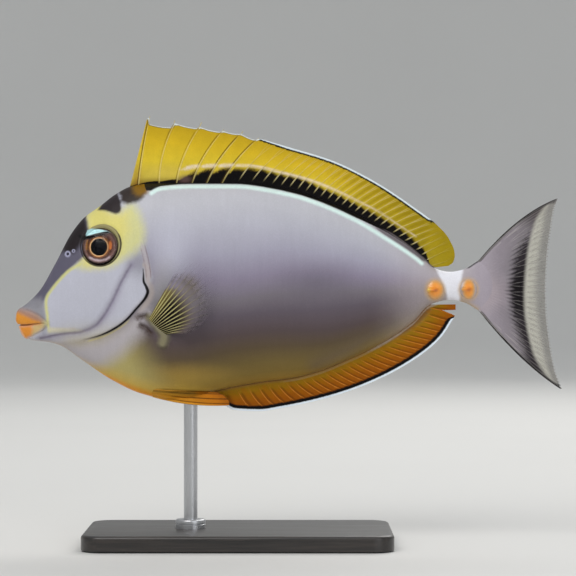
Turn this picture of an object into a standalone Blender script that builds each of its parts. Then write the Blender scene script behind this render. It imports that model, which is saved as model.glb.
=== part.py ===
"""Blonde naso tang, a life-size still model on a plain display stand.

Sizes are in millimetres until place() turns them into metres. u runs from the
snout to the tail, v is the height above the level line through the middle of
the body, and y is the distance from the middle plane, negative on the left.
"""
import math

import bmesh
import bpy
import numpy as np
from mathutils import Matrix, Vector

MM = 0.001
TOTAL_LENGTH = 200.0
LINE_HEIGHT = 94.0
GAP = 0.3

# Side view of the body without its fins: (u, v) of the back and of the belly.
BACK = [(0.0, -11.5), (0.3, -9.2), (1.2, -7.7), (3.0, -6.5), (8.7, -1.1), (14.5, 8.8),
        (20.4, 19.9), (25.0, 25.7), (31.4, 30.4), (36.5, 34.3), (42.3, 37.3), (50.0, 38.5),
        (64.0, 38.6), (83.0, 38.4), (97.2, 36.9), (111.9, 32.8), (126.5, 26.4),
        (141.2, 17.6), (150.0, 10.5), (153.5, 7.4), (159.5, 6.0), (164.2, 6.8), (169.7, 10.1)]
BELLY = [(0.0, -11.5), (0.5, -13.3), (1.4, -15.2), (2.6, -17.6), (4.5, -18.9),
         (12.3, -19.9), (16.0, -20.9), (24.0, -26.2), (35.8, -34.0), (46.0, -38.7),
         (57.0, -41.0), (63.6, -40.6), (69.8, -39.0), (76.0, -37.2), (89.9, -34.6),
         (102.0, -33.0), (111.9, -30.4), (119.2, -27.5), (133.8, -20.6), (145.9, -12.4),
         (152.1, -6.2),
         (159.5, -4.4), (165.0, -5.5), (169.7, -8.3)]
# Height of the widest point of each section, and the half width there.
MIDDLE = [(0.0, -11.5), (4.0, -12.2), (12.0, -9.5), (20.0, -3.0), (32.0, 3.5), (50.0, 2.5),
          (80.0, 1.5), (120.0, 1.0), (150.0, 0.3), (169.7, 0.9)]
HALF_WIDTH = [(0.0, 0.6), (0.3, 1.7), (1.2, 2.6), (3.0, 3.4), (8.0, 4.5), (14.5, 6.0),
              (20.4, 7.7), (31.4, 10.3), (42.3, 12.3), (52.0, 13.3), (64.0, 13.7),
              (83.0, 13.3), (97.2, 12.3), (111.9, 10.6), (126.5, 8.5), (141.2, 5.9),
              (152.0, 4.0), (160.0, 3.1), (169.7, 1.4)]
BACK_TAPER = 1.06
BELLY_TAPER = 0.96
BODY_END = 169.7
SIDE_STEPS = 12

# Cuts that part the body, as (u, v) from top to bottom.
GILL_OPENING = [(41.2, 44.0), (42.7, 35.9), (45.3, 26.7), (47.8, 17.6), (49.3, 9.5),
                (50.0, 2.9), (48.6, -2.6), (44.9, -8.1), (40.5, -12.3), (35.0, -15.7),
                (29.5, -18.3), (24.0, -19.8), (19.7, -21.2), (14.0, -25.6)]
CHEEK_EDGE = [(46.6, 17.0), (43.8, 11.7), (40.9, 5.1), (38.3, 0.0), (35.4, -5.5),
              (32.8, -10.6), (29.9, -13.9), (25.5, -16.1), (21.0, -17.4)]
LIP_EDGE = [(0.2, -3.6), (3.6, -7.7), (7.2, -9.0), (10.5, -11.0), (12.3, -13.5),
            (10.1, -15.7), (7.2, -17.6), (4.2, -22.4)]
MOUTH_LINE = [(-4.0, -13.7), (1.0, -13.8), (5.7, -13.4), (9.4, -13.1), (14.0, -13.5)]
STALK_START = 149.0
COVER_THICKNESS = 1.8
COVER_INNER = 1.5
COVER_TOP = 17.3
COVER_FRONT = 20.4
FAR_AHEAD = -6.0
FAR_BEHIND = 180.0
FAR_UP = 60.0
FAR_DOWN = -60.0
FAR_SIDE = 30.0

EYE_CENTRE = (31.8, 15.0)
EYE_RADIUS = 7.0
EYE_DOME = 1.5
EYE_DEPTH = 6.2
EYE_FORWARD = 9.0
EYE_UPWARD = 8.0
SOCKET_REACH = 9.0

# Dorsal spines: root u, tip u, tip v, and how far the web ends below the tip
# ahead of the spine and behind it.
DORSAL_SPINES = [(43.9, 49.3, 63.1, 0.6, 3.0), (52.8, 58.5, 61.5, 2.7, 1.0),
                 (59.2, 68.3, 60.9, 2.6, 1.9), (64.9, 76.4, 58.2, 1.2, 0.6),
                 (70.3, 83.5, 57.5, 1.3, 1.2), (75.9, 89.2, 55.1, 1.1, 0.6)]
DORSAL_FRONT_ROOT = 42.3
SPINE_SPREAD = 0.7
# Soft fins: root u, then the u and v of the point of the margin that the ray reaches.
DORSAL_RAYS = [(76.95, 89.95, 54.7), (86.3, 99.8, 51.8), (104.6, 116.3, 46.7),
               (119.2, 131.6, 39.2), (133.8, 146.6, 29.3), (141.2, 154.7, 23.1),
               (148.5, 159.5, 17.2), (152.1, 161.2, 11.7), (153.2, 158.7, 7.9)]
ANAL_RAYS = [(73.0, 75.6, -42.2), (77.0, 80.6, -44.8), (82.6, 89.2, -45.2), (89.9, 97.2, -44.1),
             (104.6, 115.5, -40.0), (122.9, 135.7, -32.3), (141.2, 155.1, -19.2),
             (148.5, 159.6, -12.9), (151.2, 161.5, -8.6), (152.2, 161.5, -6.0)]
# Tail fin: v of the root, u and v of the tip, and how far the ray bows upwards.
TAIL_RAYS = [(9.8, 198.4, 32.6, 2.9), (8.2, 197.2, 29.0, 2.5), (5.5, 196.2, 22.7, 1.7),
             (3.2, 195.2, 15.7, 0.9), (1.4, 194.5, 7.3, 0.3), (0.0, 194.2, -0.7, 0.0),
             (-1.4, 194.4, -8.1, -0.3), (-3.0, 195.1, -15.4, -0.8), (-4.8, 196.1, -22.7, -1.3),
             (-6.6, 197.5, -29.8, -1.9), (-8.0, 200.0, -36.9, -2.4)]
# Paired fins: u and v of the root, u and v of the tip.
PECTORAL_RAYS = [(50.2, -10.4, 61.5, 8.6), (50.8, -11.2, 66.5, 9.2), (51.6, -12.1, 71.0, 7.6),
                 (52.5, -13.0, 74.0, 3.5), (53.5, -14.0, 75.8, -2.0), (54.5, -15.0, 75.6, -7.6),
                 (55.4, -15.9, 72.0, -12.6), (56.3, -16.8, 65.6, -16.8)]
PECTORAL_SWING = 26.0
PELVIC_RAYS = [(50.6, -39.6, 79.0, -42.6), (50.4, -38.6, 79.8, -41.0),
               (50.3, -37.8, 79.4, -39.4), (50.4, -37.0, 77.5, -37.6)]
PELVIC_BOW = -1.2
PELVIC_CLEARANCE = 0.7
PELVIC_INNER = 3.3
EDGE_HALF = 0.28
WEB_HALF = 0.3
ROOT_HALF = 0.8
TAIL_ROOT_HALF = 1.3
SPINE_HALF = 0.6

PLATE_CENTRES = {"front": (153.8, -0.7), "rear": (166.1, -0.5)}
PLATE_RADII = (3.5, 1.3, 4.0)
KEEL_OUTLINE = [(2.7, 0.0), (1.6, 1.9), (-0.6, 3.0), (-2.7, 2.9), (-1.7, 1.9), (-1.9, 0.0)]
KEEL_HALF = 0.45
KEEL_SINK = 0.6

ROD_U = 64.3
ROD_RADIUS = 2.5
ROD_FOOT = 2.3
ROD_TOP = -29.0
BASE_SIZE = (112.0, 64.0, 6.0)
BASE_CENTRE = -18.0
BASE_CORNER = 8.0
BASE_EDGE = 1.0
COLLAR_RADIUS = 5.5
COLLAR_HEIGHT = 3.0
COLLAR_EDGE = 0.6

COLOURS = {
    "flesh": ((0.29, 0.25, 0.31), 0.45), "lip": ((0.68, 0.25, 0.09), 0.4),
    "cover": ((0.43, 0.44, 0.53), 0.42), "eye": ((0.28, 0.12, 0.06), 0.12),
    "dorsal": ((0.52, 0.37, 0.03), 0.45), "anal": ((0.45, 0.14, 0.01), 0.45),
    "tail": ((0.3, 0.28, 0.3), 0.5), "stalk": ((0.85, 0.85, 0.9), 0.4),
    "pectoral": ((0.3, 0.28, 0.09), 0.4), "plate": ((0.83, 0.33, 0.06), 0.35),
    "base": ((0.02, 0.02, 0.022), 0.4), "steel": ((0.6, 0.6, 0.62), 0.3),
}


def smooth_curve(stations):
    """A function of x that runs smoothly, and without overshoot, through (x, value) stations."""
    xs = np.array([station[0] for station in stations], dtype=float)
    ys = np.array([station[1] for station in stations], dtype=float)
    step = np.diff(xs)
    rise = np.diff(ys) / step
    slope = np.zeros_like(ys)
    for i in range(1, len(xs) - 1):
        if rise[i - 1] * rise[i] > 0:
            before = 2 * step[i] + step[i - 1]
            after = step[i] + 2 * step[i - 1]
            slope[i] = (before + after) / (before / rise[i - 1] + after / rise[i])
    slope[0] = rise[0]
    slope[-1] = rise[-1]

    def value(x):
        i = int(np.clip(np.searchsorted(xs, x) - 1, 0, len(step) - 1))
        t = float(np.clip((x - xs[i]) / step[i], 0.0, 1.0))
        start = ys[i] * (1 + 2 * t) * (1 - t) ** 2 + slope[i] * step[i] * t * (1 - t) ** 2
        end = ys[i + 1] * t * t * (3 - 2 * t) + slope[i + 1] * step[i] * t * t * (t - 1)
        return start + end

    return value


def smooth_path(points, steps):
    """Points of any dimension joined by a smooth curve, with so many steps a span."""
    rows = np.array(points, dtype=float)
    padded = np.vstack([2 * rows[0] - rows[1], rows, 2 * rows[-1] - rows[-2]])
    path = []
    for i in range(1, len(padded) - 2):
        p0, p1, p2, p3 = padded[i - 1:i + 3]
        for k in range(steps):
            t = k / steps
            path.append(0.5 * (2 * p1 + (p2 - p0) * t + (2 * p0 - 5 * p1 + 4 * p2 - p3) * t ** 2
                               + (3 * p1 - p0 - 3 * p2 + p3) * t ** 3))
    path.append(rows[-1])
    return path


def shifted(path, distance):
    """A flat path moved sideways, to the left of the way it runs."""
    rows = np.array(path, dtype=float)
    run = np.gradient(rows, axis=0)
    run /= np.linalg.norm(run, axis=1)[:, None]
    return rows + distance * np.column_stack([-run[:, 1], run[:, 0]])


def inset(outline, distance):
    """A closed outline that runs clockwise, moved inwards by distance with sharp corners."""
    rows = np.array(outline, dtype=float)
    run = np.roll(rows, -1, axis=0) - rows
    run /= np.linalg.norm(run, axis=1)[:, None]
    after = np.column_stack([run[:, 1], -run[:, 0]])
    before = np.roll(after, 1, axis=0)
    share = 1.0 + (before * after).sum(axis=1)
    return [tuple(p) for p in rows + distance * (before + after) / share[:, None]]


back = smooth_curve(BACK)
belly = smooth_curve(BELLY)
middle = smooth_curve(MIDDLE)
widest = smooth_curve(HALF_WIDTH)


def half_width(u, v):
    """Half width of the body at a point of its side view, 0 outside it."""
    above = v > middle(u)
    reach = back(u) - middle(u) if above else middle(u) - belly(u)
    share = min(abs(v - middle(u)) / max(reach, 0.01), 1.0)
    taper = BACK_TAPER if above else BELLY_TAPER
    return widest(u) * (1.0 - share ** 2) ** (taper / 2)


def place(u, y, v):
    """A point of the model in metres: middle of its length at the origin, base on the ground."""
    return Vector(((u - TOTAL_LENGTH / 2) * MM, y * MM, (v + LINE_HEIGHT) * MM))


def new_collection(name):
    """An empty collection in the scene."""
    collection = bpy.data.collections.new(name)
    bpy.context.scene.collection.children.link(collection)
    return collection


def new_material(name, colour, roughness, metallic=0.0):
    """A plain finish."""
    material = bpy.data.materials.new(name)
    material.use_nodes = True
    shader = material.node_tree.nodes["Principled BSDF"]
    shader.inputs["Base Color"].default_value = (*colour, 1.0)
    shader.inputs["Roughness"].default_value = roughness
    shader.inputs["Metallic"].default_value = metallic
    return material


def put_in(collection, obj):
    """Move an object to one collection only."""
    for other in list(obj.users_collection):
        other.objects.unlink(obj)
    collection.objects.link(obj)


def add_piece(name, mesh, finish):
    """One named sub-part with its own finish, shaded smooth but for its sharp edges."""
    obj = bpy.data.objects.new(name, mesh)
    model.objects.link(obj)
    colour, roughness = COLOURS[finish]
    metallic = 1.0 if finish == "steel" else 0.0
    mesh.materials.clear()
    mesh.materials.append(new_material(name, colour, roughness, metallic))
    mesh.shade_smooth()
    mesh.set_sharp_from_angle(angle=math.radians(40))
    return obj


def add_cutter(name, mesh):
    """A shape that only cuts others."""
    obj = bpy.data.objects.new(name, mesh)
    cutters.objects.link(obj)
    obj.hide_render = True
    obj.display_type = "WIRE"
    return obj


def combine(obj, other, operation):
    """Boolean of one object with another."""
    modifier = obj.modifiers.new(operation.lower() + "_" + other.name, "BOOLEAN")
    modifier.operation = operation
    modifier.solver = "EXACT"
    modifier.object = other


def mesh_from(bm, name):
    """A mesh with its faces turned outwards."""
    bmesh.ops.recalc_face_normals(bm, faces=bm.faces)
    mesh = bpy.data.meshes.new(name)
    bm.to_mesh(mesh)
    bm.free()
    return mesh


def prism(name, outline, low_y, high_y):
    """A cutter with a flat (u, v) outline, running from low_y to high_y."""
    curve = bpy.data.curves.new(name, "CURVE")
    curve.dimensions = "2D"
    curve.fill_mode = "BOTH"
    curve.extrude = (high_y - low_y) / 2 * MM
    spline = curve.splines.new("POLY")
    spline.points.add(len(outline) - 1)
    for point, (u, v) in zip(spline.points, outline):
        place_of = place(u, 0.0, v)
        point.co = (place_of.x, place_of.z, 0.0, 1.0)
    spline.use_cyclic_u = True
    guide = bpy.data.objects.new(name, curve)
    cutters.objects.link(guide)
    guide.matrix_world = (Matrix.Translation((0.0, (low_y + high_y) / 2 * MM, 0.0))
                          @ Matrix.Rotation(math.radians(90), 4, "X"))
    bpy.context.view_layer.update()
    mesh = bpy.data.meshes.new_from_object(guide.evaluated_get(bpy.context.evaluated_depsgraph_get()))
    mesh.transform(guide.matrix_world)
    bpy.data.objects.remove(guide)
    bm = bmesh.new()
    bm.from_mesh(mesh)
    bmesh.ops.remove_doubles(bm, verts=bm.verts, dist=1e-6)
    return add_cutter(name, mesh_from(bm, name))


def loft_stations():
    """Where the body's sections lie, closer together at the snout and the tail."""
    snout = [0.3, 1.2, 3.0, 5.5, 8.5]
    flank = list(np.arange(12.0, 149.0, 4.5))
    stalk = list(np.linspace(151.5, BODY_END, 8))
    return snout + flank + stalk


def body_mesh(name, grow=0.0):
    """The whole body lofted through oval sections, larger or smaller all round by grow."""
    bm = bmesh.new()
    nose = bm.verts.new(place(-grow, 0.0, BACK[0][1]))
    rings = []
    for u in loft_stations():
        ring = []
        for k in range(2 * SIDE_STEPS):
            turn = math.pi * k / SIDE_STEPS
            upper = math.cos(turn) >= 0
            edge = back(u) + grow if upper else belly(u) - grow
            taper = BACK_TAPER if upper else BELLY_TAPER
            v = middle(u) + abs(edge - middle(u)) * math.cos(turn)
            wide = max(widest(u) + grow, 0.1) * abs(math.sin(turn)) ** taper
            ring.append(bm.verts.new(place(u, -math.copysign(wide, math.sin(turn)), v)))
        rings.append(ring)
    count = 2 * SIDE_STEPS
    for k in range(count):
        bm.faces.new((nose, rings[0][k], rings[0][(k + 1) % count]))
    for ring, following in zip(rings, rings[1:]):
        for k in range(count):
            after = (k + 1) % count
            bm.faces.new((ring[k], ring[after], following[after], following[k]))
    bm.faces.new(rings[-1])
    return mesh_from(bm, name)


def blade_mesh(name, rays, normal):
    """A closed blade through rays, each a list of (point, half thickness) from root to edge."""
    side = Vector(normal).normalized() * MM
    bm = bmesh.new()
    near = [[bm.verts.new(point + side * half) for point, half in ray] for ray in rays]
    far = [[bm.verts.new(point - side * half) for point, half in ray] for ray in rays]
    last = len(rays[0]) - 1
    for i in range(len(rays) - 1):
        for j in range(last):
            bm.faces.new((near[i][j], near[i + 1][j], near[i + 1][j + 1], near[i][j + 1]))
            bm.faces.new((far[i][j], far[i][j + 1], far[i + 1][j + 1], far[i + 1][j]))
        bm.faces.new((near[i][0], far[i][0], far[i + 1][0], near[i + 1][0]))
        bm.faces.new((near[i][last], near[i + 1][last], far[i + 1][last], far[i][last]))
    for i in (0, len(rays) - 1):
        for j in range(last):
            bm.faces.new((near[i][j], near[i][j + 1], far[i][j + 1], far[i][j]))
    return mesh_from(bm, name)


def ray_points(root, tip, rows, bow, root_half, edge_half):
    """Points of one ray in the (u, v) plane, bowed upwards by bow at its middle."""
    points = []
    for j in range(rows + 1):
        t = j / rows
        u = root[0] + (tip[0] - root[0]) * t
        v = root[1] + (tip[1] - root[1]) * t + 4 * bow * t * (1 - t)
        half = edge_half + (root_half - edge_half) * (1 - t) ** 2
        points.append((u, v, half))
    return points


def middle_fin(name, rays, finish):
    """A fin in the middle plane, from rays of (u, v, half thickness)."""
    placed = [[(place(u, 0.0, v), half) for u, v, half in ray] for ray in rays]
    return add_piece(name, blade_mesh(name, placed, (0, 1, 0)), finish)


def region(name, edge, far_u):
    """A prism that holds all of the body on one side of a cut that runs from top to bottom."""
    corners = [(edge[-1][0], FAR_DOWN), (far_u, FAR_DOWN), (far_u, FAR_UP), (edge[0][0], FAR_UP)]
    outline = [tuple(point) for point in edge] + corners
    prism(name, outline, -FAR_SIDE, FAR_SIDE)


def make_body_cutters():
    """The prisms and shells that part the body."""
    half = GAP / 2
    opening = smooth_path(GILL_OPENING, 2)
    region("head_region", shifted(opening, -half), FAR_AHEAD)
    region("behind_gills", shifted(opening, half), FAR_BEHIND)
    stalk_edge = [(STALK_START, FAR_UP), (STALK_START, FAR_DOWN)]
    region("ahead_of_stalk", shifted(stalk_edge, -half), FAR_AHEAD)
    region("stalk_region", shifted(stalk_edge, half), FAR_BEHIND)

    lips = smooth_path(LIP_EDGE, 2)
    for name, distance in (("muzzle_region", -half), ("muzzle_pocket", half)):
        edge = [tuple(point) for point in shifted(lips, distance)]
        edge += [(FAR_AHEAD, edge[-1][1]), (FAR_AHEAD, edge[0][1])]
        prism(name, edge, -FAR_SIDE, FAR_SIDE)
    mouth = smooth_path(MOUTH_LINE, 2)
    for name, distance, far_v in (("above_mouth", half, FAR_UP), ("below_mouth", -half, FAR_DOWN)):
        edge = [tuple(point) for point in shifted(mouth, distance)]
        edge += [(edge[-1][0], far_v), (edge[0][0], far_v)]
        prism(name, edge, -FAR_SIDE, FAR_SIDE)

    hind_edge = [point for point in opening if point[1] <= COVER_TOP and point[0] >= COVER_FRONT]
    cover = hind_edge + smooth_path(CHEEK_EDGE, 2)[::-1]
    add_cutter("cover_core", body_mesh("cover_core", -COVER_THICKNESS))
    core = add_cutter("pocket_core", body_mesh("pocket_core", -COVER_THICKNESS - GAP))
    for name, sign in (("left", -1), ("right", 1)):
        for label, outline, inner in (("cover_region_", inset(cover, half), COVER_INNER),
                                      ("cover_pocket_", inset(cover, -half), COVER_INNER - GAP)):
            low, high = sorted((sign * inner, sign * FAR_SIDE))
            shape = prism(label + name, outline, low, high)
        combine(shape, core, "DIFFERENCE")


def make_body():
    """Head, lips, gill covers, trunk and tail stalk: one body parted by thin cuts."""
    cut = bpy.data.objects
    pieces = {
        "head": ("flesh", ["head_region"],
                 ["muzzle_pocket", "cover_pocket_left", "cover_pocket_right",
                  "socket_left", "socket_right"]),
        "upper_lip": ("lip", ["muzzle_region", "above_mouth"], []),
        "lower_lip": ("lip", ["muzzle_region", "below_mouth"], []),
        "gill_cover_left": ("cover", ["cover_region_left"], ["cover_core"]),
        "gill_cover_right": ("cover", ["cover_region_right"], ["cover_core"]),
        "trunk": ("flesh", ["behind_gills", "ahead_of_stalk"], ["rod_hole"]),
        "tail_stalk": ("stalk", ["stalk_region"], []),
    }
    for name, (finish, kept, taken) in pieces.items():
        obj = add_piece(name, body_mesh(name), finish)
        for region in kept:
            combine(obj, cut[region], "INTERSECT")
        for region in taken:
            combine(obj, cut[region], "DIFFERENCE")


def turned_mesh(name, profile, steps):
    """A shape turned about Z from an (radius, height) profile that runs from top to bottom."""
    mesh = bpy.data.meshes.new(name)
    mesh.from_pydata([(radius * MM, 0.0, height * MM) for radius, height in profile],
                     [(i, i + 1) for i in range(len(profile) - 1)], [])
    obj = bpy.data.objects.new(name, mesh)
    cutters.objects.link(obj)
    screw = obj.modifiers.new("turn", "SCREW")
    screw.steps = steps
    screw.render_steps = steps
    screw.use_merge_vertices = True
    screw.merge_threshold = 0.00005
    bpy.context.view_layer.update()
    turned = bpy.data.meshes.new_from_object(obj.evaluated_get(bpy.context.evaluated_depsgraph_get()))
    bpy.data.objects.remove(obj)
    return turned


def eye_profile(grow, cap):
    """Half section of the eyeball, grown for its socket; cap is how far it stands out."""
    radius = EYE_RADIUS + grow
    dome = [(0.0, cap), (0.5 * radius, 0.82 * cap), (0.8 * radius, 0.42 * cap)]
    wall = [(radius, -1.2), (0.94 * radius, -3.3), (0.7 * radius, -5.2)]
    return dome + wall + [(0.0, -EYE_DEPTH - grow)]


def make_eyes():
    """Eyeballs set in the head, and the sockets that hold them."""
    u, v = EYE_CENTRE
    surface = half_width(u, v)
    for name, side in (("left", -1), ("right", 1)):
        outward = Vector((-math.sin(math.radians(EYE_FORWARD)), side,
                          math.sin(math.radians(EYE_UPWARD)))).normalized()
        turn = outward.to_track_quat("Z", "X").to_matrix().to_4x4()
        matrix = Matrix.Translation(place(u, side * surface, v)) @ turn
        ball = turned_mesh("eye_" + name, eye_profile(0.0, EYE_DOME), 24)
        ball.transform(matrix)
        add_piece("eye_" + name, ball, "eye")
        socket = turned_mesh("socket_" + name, eye_profile(GAP, SOCKET_REACH), 24)
        socket.transform(matrix)
        add_cutter("socket_" + name, socket)


def make_dorsal_fin():
    """The spined front of the fin on the back, and its long soft rear."""
    rows = 5
    rays = []
    front_tip = DORSAL_SPINES[0]
    rays.append(ray_points((DORSAL_FRONT_ROOT, back(DORSAL_FRONT_ROOT) + GAP),
                           (front_tip[1] - 0.9, front_tip[2] - 1.0), rows, 0.5, WEB_HALF, EDGE_HALF))
    for root_u, tip_u, tip_v, drop_ahead, drop_behind in DORSAL_SPINES:
        root = np.array([root_u, back(root_u) + GAP])
        tip = np.array([tip_u, tip_v])
        along = (tip - root) / np.linalg.norm(tip - root)
        for step, drop, half in ((-1, drop_ahead, WEB_HALF), (0, 0.0, SPINE_HALF),
                                 (1, drop_behind, WEB_HALF)):
            foot_u = root_u + step * SPINE_SPREAD
            foot = (foot_u, back(foot_u) + GAP)
            end = tip - along * drop + np.array([step * SPINE_SPREAD * 0.6, 0.0])
            rays.append(ray_points(foot, end, rows, 0.3, half, EDGE_HALF))
    middle_fin("dorsal_fin_front", rays, "dorsal")
    rays = []
    for root_u, tip_u, tip_v in smooth_path(DORSAL_RAYS, 3):
        root = (root_u, back(root_u) + GAP)
        rays.append(ray_points(root, (tip_u, tip_v), rows, 0.0, ROOT_HALF, EDGE_HALF))
    middle_fin("dorsal_fin_rear", rays, "dorsal")


def make_anal_fin():
    """The long soft fin under the belly."""
    rays = []
    for root_u, tip_u, tip_v in smooth_path(ANAL_RAYS, 2):
        root = (root_u, belly(root_u) - GAP)
        rays.append(ray_points(root, (tip_u, tip_v), 4, 0.0, ROOT_HALF, EDGE_HALF))
    middle_fin("anal_fin", rays, "anal")


def make_tail_fin():
    """The tail fin, spread from the end of the stalk."""
    rays = []
    for root_v, tip_u, tip_v, bow in smooth_path(TAIL_RAYS, 2):
        root = (BODY_END + GAP, root_v)
        rays.append(ray_points(root, (tip_u, tip_v), 5, bow, TAIL_ROOT_HALF, EDGE_HALF))
    middle_fin("tail_fin", rays, "tail")


def make_pectoral_fins():
    """The two breast fins, swung out from the sides."""
    rise = math.sin(math.radians(PECTORAL_SWING))
    for name, side in (("left", -1), ("right", 1)):
        rays = []
        for root_u, root_v, tip_u, tip_v in smooth_path(PECTORAL_RAYS, 2):
            root_y = half_width(root_u, root_v) + GAP + ROOT_HALF
            length = math.hypot(tip_u - root_u, tip_v - root_v)
            ray = []
            for u, v, half in ray_points((root_u, root_v), (tip_u, tip_v), 5, 0.4, ROOT_HALF, EDGE_HALF):
                out = root_y + rise * length * (u - root_u) / (tip_u - root_u)
                ray.append((place(u, side * out, v), half))
            rays.append(ray)
        across = rays[-1][0][0] - rays[0][0][0]
        along = rays[len(rays) // 2][-1][0] - rays[len(rays) // 2][0][0]
        mesh = blade_mesh("pectoral_fin_" + name, rays, along.cross(across))
        add_piece("pectoral_fin_" + name, mesh, "pectoral")


def make_pelvic_fins():
    """The two belly fins, folded back along the belly."""
    steps = 2
    for name, side in (("left", -1), ("right", 1)):
        rays = []
        for k, (root_u, root_v, tip_u, tip_v) in enumerate(smooth_path(PELVIC_RAYS, steps)):
            bow = PELVIC_BOW * (1 - k / (steps * (len(PELVIC_RAYS) - 1)))
            ray = []
            for u, v, half in ray_points((root_u, root_v), (tip_u, tip_v), 6, bow, WEB_HALF, EDGE_HALF):
                out = max(half_width(u, v) + PELVIC_CLEARANCE, PELVIC_INNER)
                ray.append((place(u, side * out, v), half))
            rays.append(ray)
        mesh = blade_mesh("pelvic_fin_" + name, rays, (0.0, side * 0.9, -0.43))
        add_piece("pelvic_fin_" + name, mesh, "anal")


def make_tail_plates():
    """Bony plates on the tail stalk, each with a keel that points forward."""
    clearance = add_cutter("plate_clearance", body_mesh("plate_clearance", GAP))
    for row, (u, v) in PLATE_CENTRES.items():
        for name, side in (("left", -1), ("right", 1)):
            label = "tail_plate_" + row + "_" + name
            surface = half_width(u, v) + GAP
            bm = bmesh.new()
            bmesh.ops.create_uvsphere(bm, u_segments=16, v_segments=8, radius=MM)
            bmesh.ops.scale(bm, vec=PLATE_RADII, verts=bm.verts)
            bmesh.ops.translate(bm, vec=place(u, side * surface, v), verts=bm.verts)
            plate = add_piece(label, mesh_from(bm, label), "plate")
            keel = keel_cutter("keel_" + row + "_" + name, u, v, side, surface)
            combine(plate, keel, "UNION")
            combine(plate, clearance, "DIFFERENCE")


def keel_cutter(name, u, v, side, surface):
    """The level blade of one keel, to be joined to its plate."""
    bm = bmesh.new()
    low = []
    high = []
    for along, out in KEEL_OUTLINE:
        y = side * (surface - KEEL_SINK + out)
        low.append(bm.verts.new(place(u + along, y, v - KEEL_HALF)))
        high.append(bm.verts.new(place(u + along, y, v + KEEL_HALF)))
    bm.faces.new(low)
    bm.faces.new(reversed(high))
    for i in range(len(low)):
        after = (i + 1) % len(low)
        bm.faces.new((low[i], high[i], high[after], low[after]))
    return add_cutter(name, mesh_from(bm, name))


def cylinder_mesh(name, radius, low, high):
    """An upright round bar at the rod's place, between two heights above the ground."""
    bm = bmesh.new()
    bmesh.ops.create_cone(bm, cap_ends=True, segments=24, radius1=radius * MM, radius2=radius * MM,
                          depth=(high - low) * MM)
    centre = Vector(((ROD_U - TOTAL_LENGTH / 2) * MM, 0.0, (low + high) / 2 * MM))
    bmesh.ops.translate(bm, vec=centre, verts=bm.verts)
    return mesh_from(bm, name)


def make_stand_base():
    """The flat base, with round corners, a softened top rim and a blind hole for the rod."""
    length, width, height = BASE_SIZE
    bpy.ops.mesh.primitive_cube_add(size=1.0)
    base = bpy.context.object
    base.name = "stand_base"
    base.data.transform(Matrix.Translation((BASE_CENTRE * MM, 0.0, height / 2 * MM))
                        @ Matrix.Diagonal((length * MM, width * MM, height * MM, 1.0)))
    put_in(model, base)
    colour, roughness = COLOURS["base"]
    base.data.materials.append(new_material("stand_base", colour, roughness))
    bm = bmesh.new()
    bm.from_mesh(base.data)
    upright = [e for e in bm.edges if abs(e.verts[0].co.z - e.verts[1].co.z) > height / 2 * MM]
    bmesh.ops.bevel(bm, geom=upright, offset=BASE_CORNER * MM, segments=6, affect="EDGES", profile=0.5)
    top = height * MM
    rim = [e for e in bm.edges if all(abs(vert.co.z - top) < 1e-6 for vert in e.verts)]
    bmesh.ops.bevel(bm, geom=rim, offset=BASE_EDGE * MM, segments=2, affect="EDGES", profile=0.5)
    bm.to_mesh(base.data)
    bm.free()
    hole = cylinder_mesh("foot_hole", ROD_RADIUS + GAP, ROD_FOOT - GAP, 2 * height)
    combine(base, add_cutter("foot_hole", hole), "DIFFERENCE")


def make_stand_rod():
    """The steel rod from the base up into the belly, and the hole that it fills there."""
    top = ROD_TOP + LINE_HEIGHT
    add_piece("stand_rod", cylinder_mesh("stand_rod", ROD_RADIUS, ROD_FOOT, top), "steel")
    hole = cylinder_mesh("rod_hole", ROD_RADIUS + GAP, BASE_SIZE[2], top + GAP)
    add_cutter("rod_hole", hole)


def make_stand_collar():
    """The turned collar round the foot of the rod."""
    bore = ROD_RADIUS + GAP
    low = BASE_SIZE[2] + GAP
    high = low + COLLAR_HEIGHT
    profile = [(bore, high), (COLLAR_RADIUS - COLLAR_EDGE, high), (COLLAR_RADIUS, high - COLLAR_EDGE),
               (COLLAR_RADIUS, low), (bore, low), (bore, high)]
    collar = turned_mesh("stand_collar", profile, 24)
    collar.transform(Matrix.Translation(((ROD_U - TOTAL_LENGTH / 2) * MM, 0.0, 0.0)))
    bm = bmesh.new()
    bm.from_mesh(collar)
    bmesh.ops.remove_doubles(bm, verts=bm.verts, dist=1e-6)
    add_piece("stand_collar", mesh_from(bm, "stand_collar"), "steel")


for leftover in list(bpy.data.objects):
    bpy.data.objects.remove(leftover)
model = new_collection("blonde_naso_tang")
cutters = new_collection("cutters")
make_stand_base()
make_stand_rod()
make_stand_collar()
make_eyes()
make_body_cutters()
make_body()
make_dorsal_fin()
make_anal_fin()
make_tail_fin()
make_pectoral_fins()
make_pelvic_fins()
make_tail_plates()
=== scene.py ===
"""A blonde naso tang, life size, as a still model on a plain display stand.

Sizes are in millimetres until they are placed. u runs from the snout to the tail,
v is the height above the level line through the middle of the body, and y is the
distance from the middle plane, negative on the fish's left side.
"""
import math

import bmesh
import bpy
import numpy as np
from mathutils import Matrix, Vector


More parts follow.
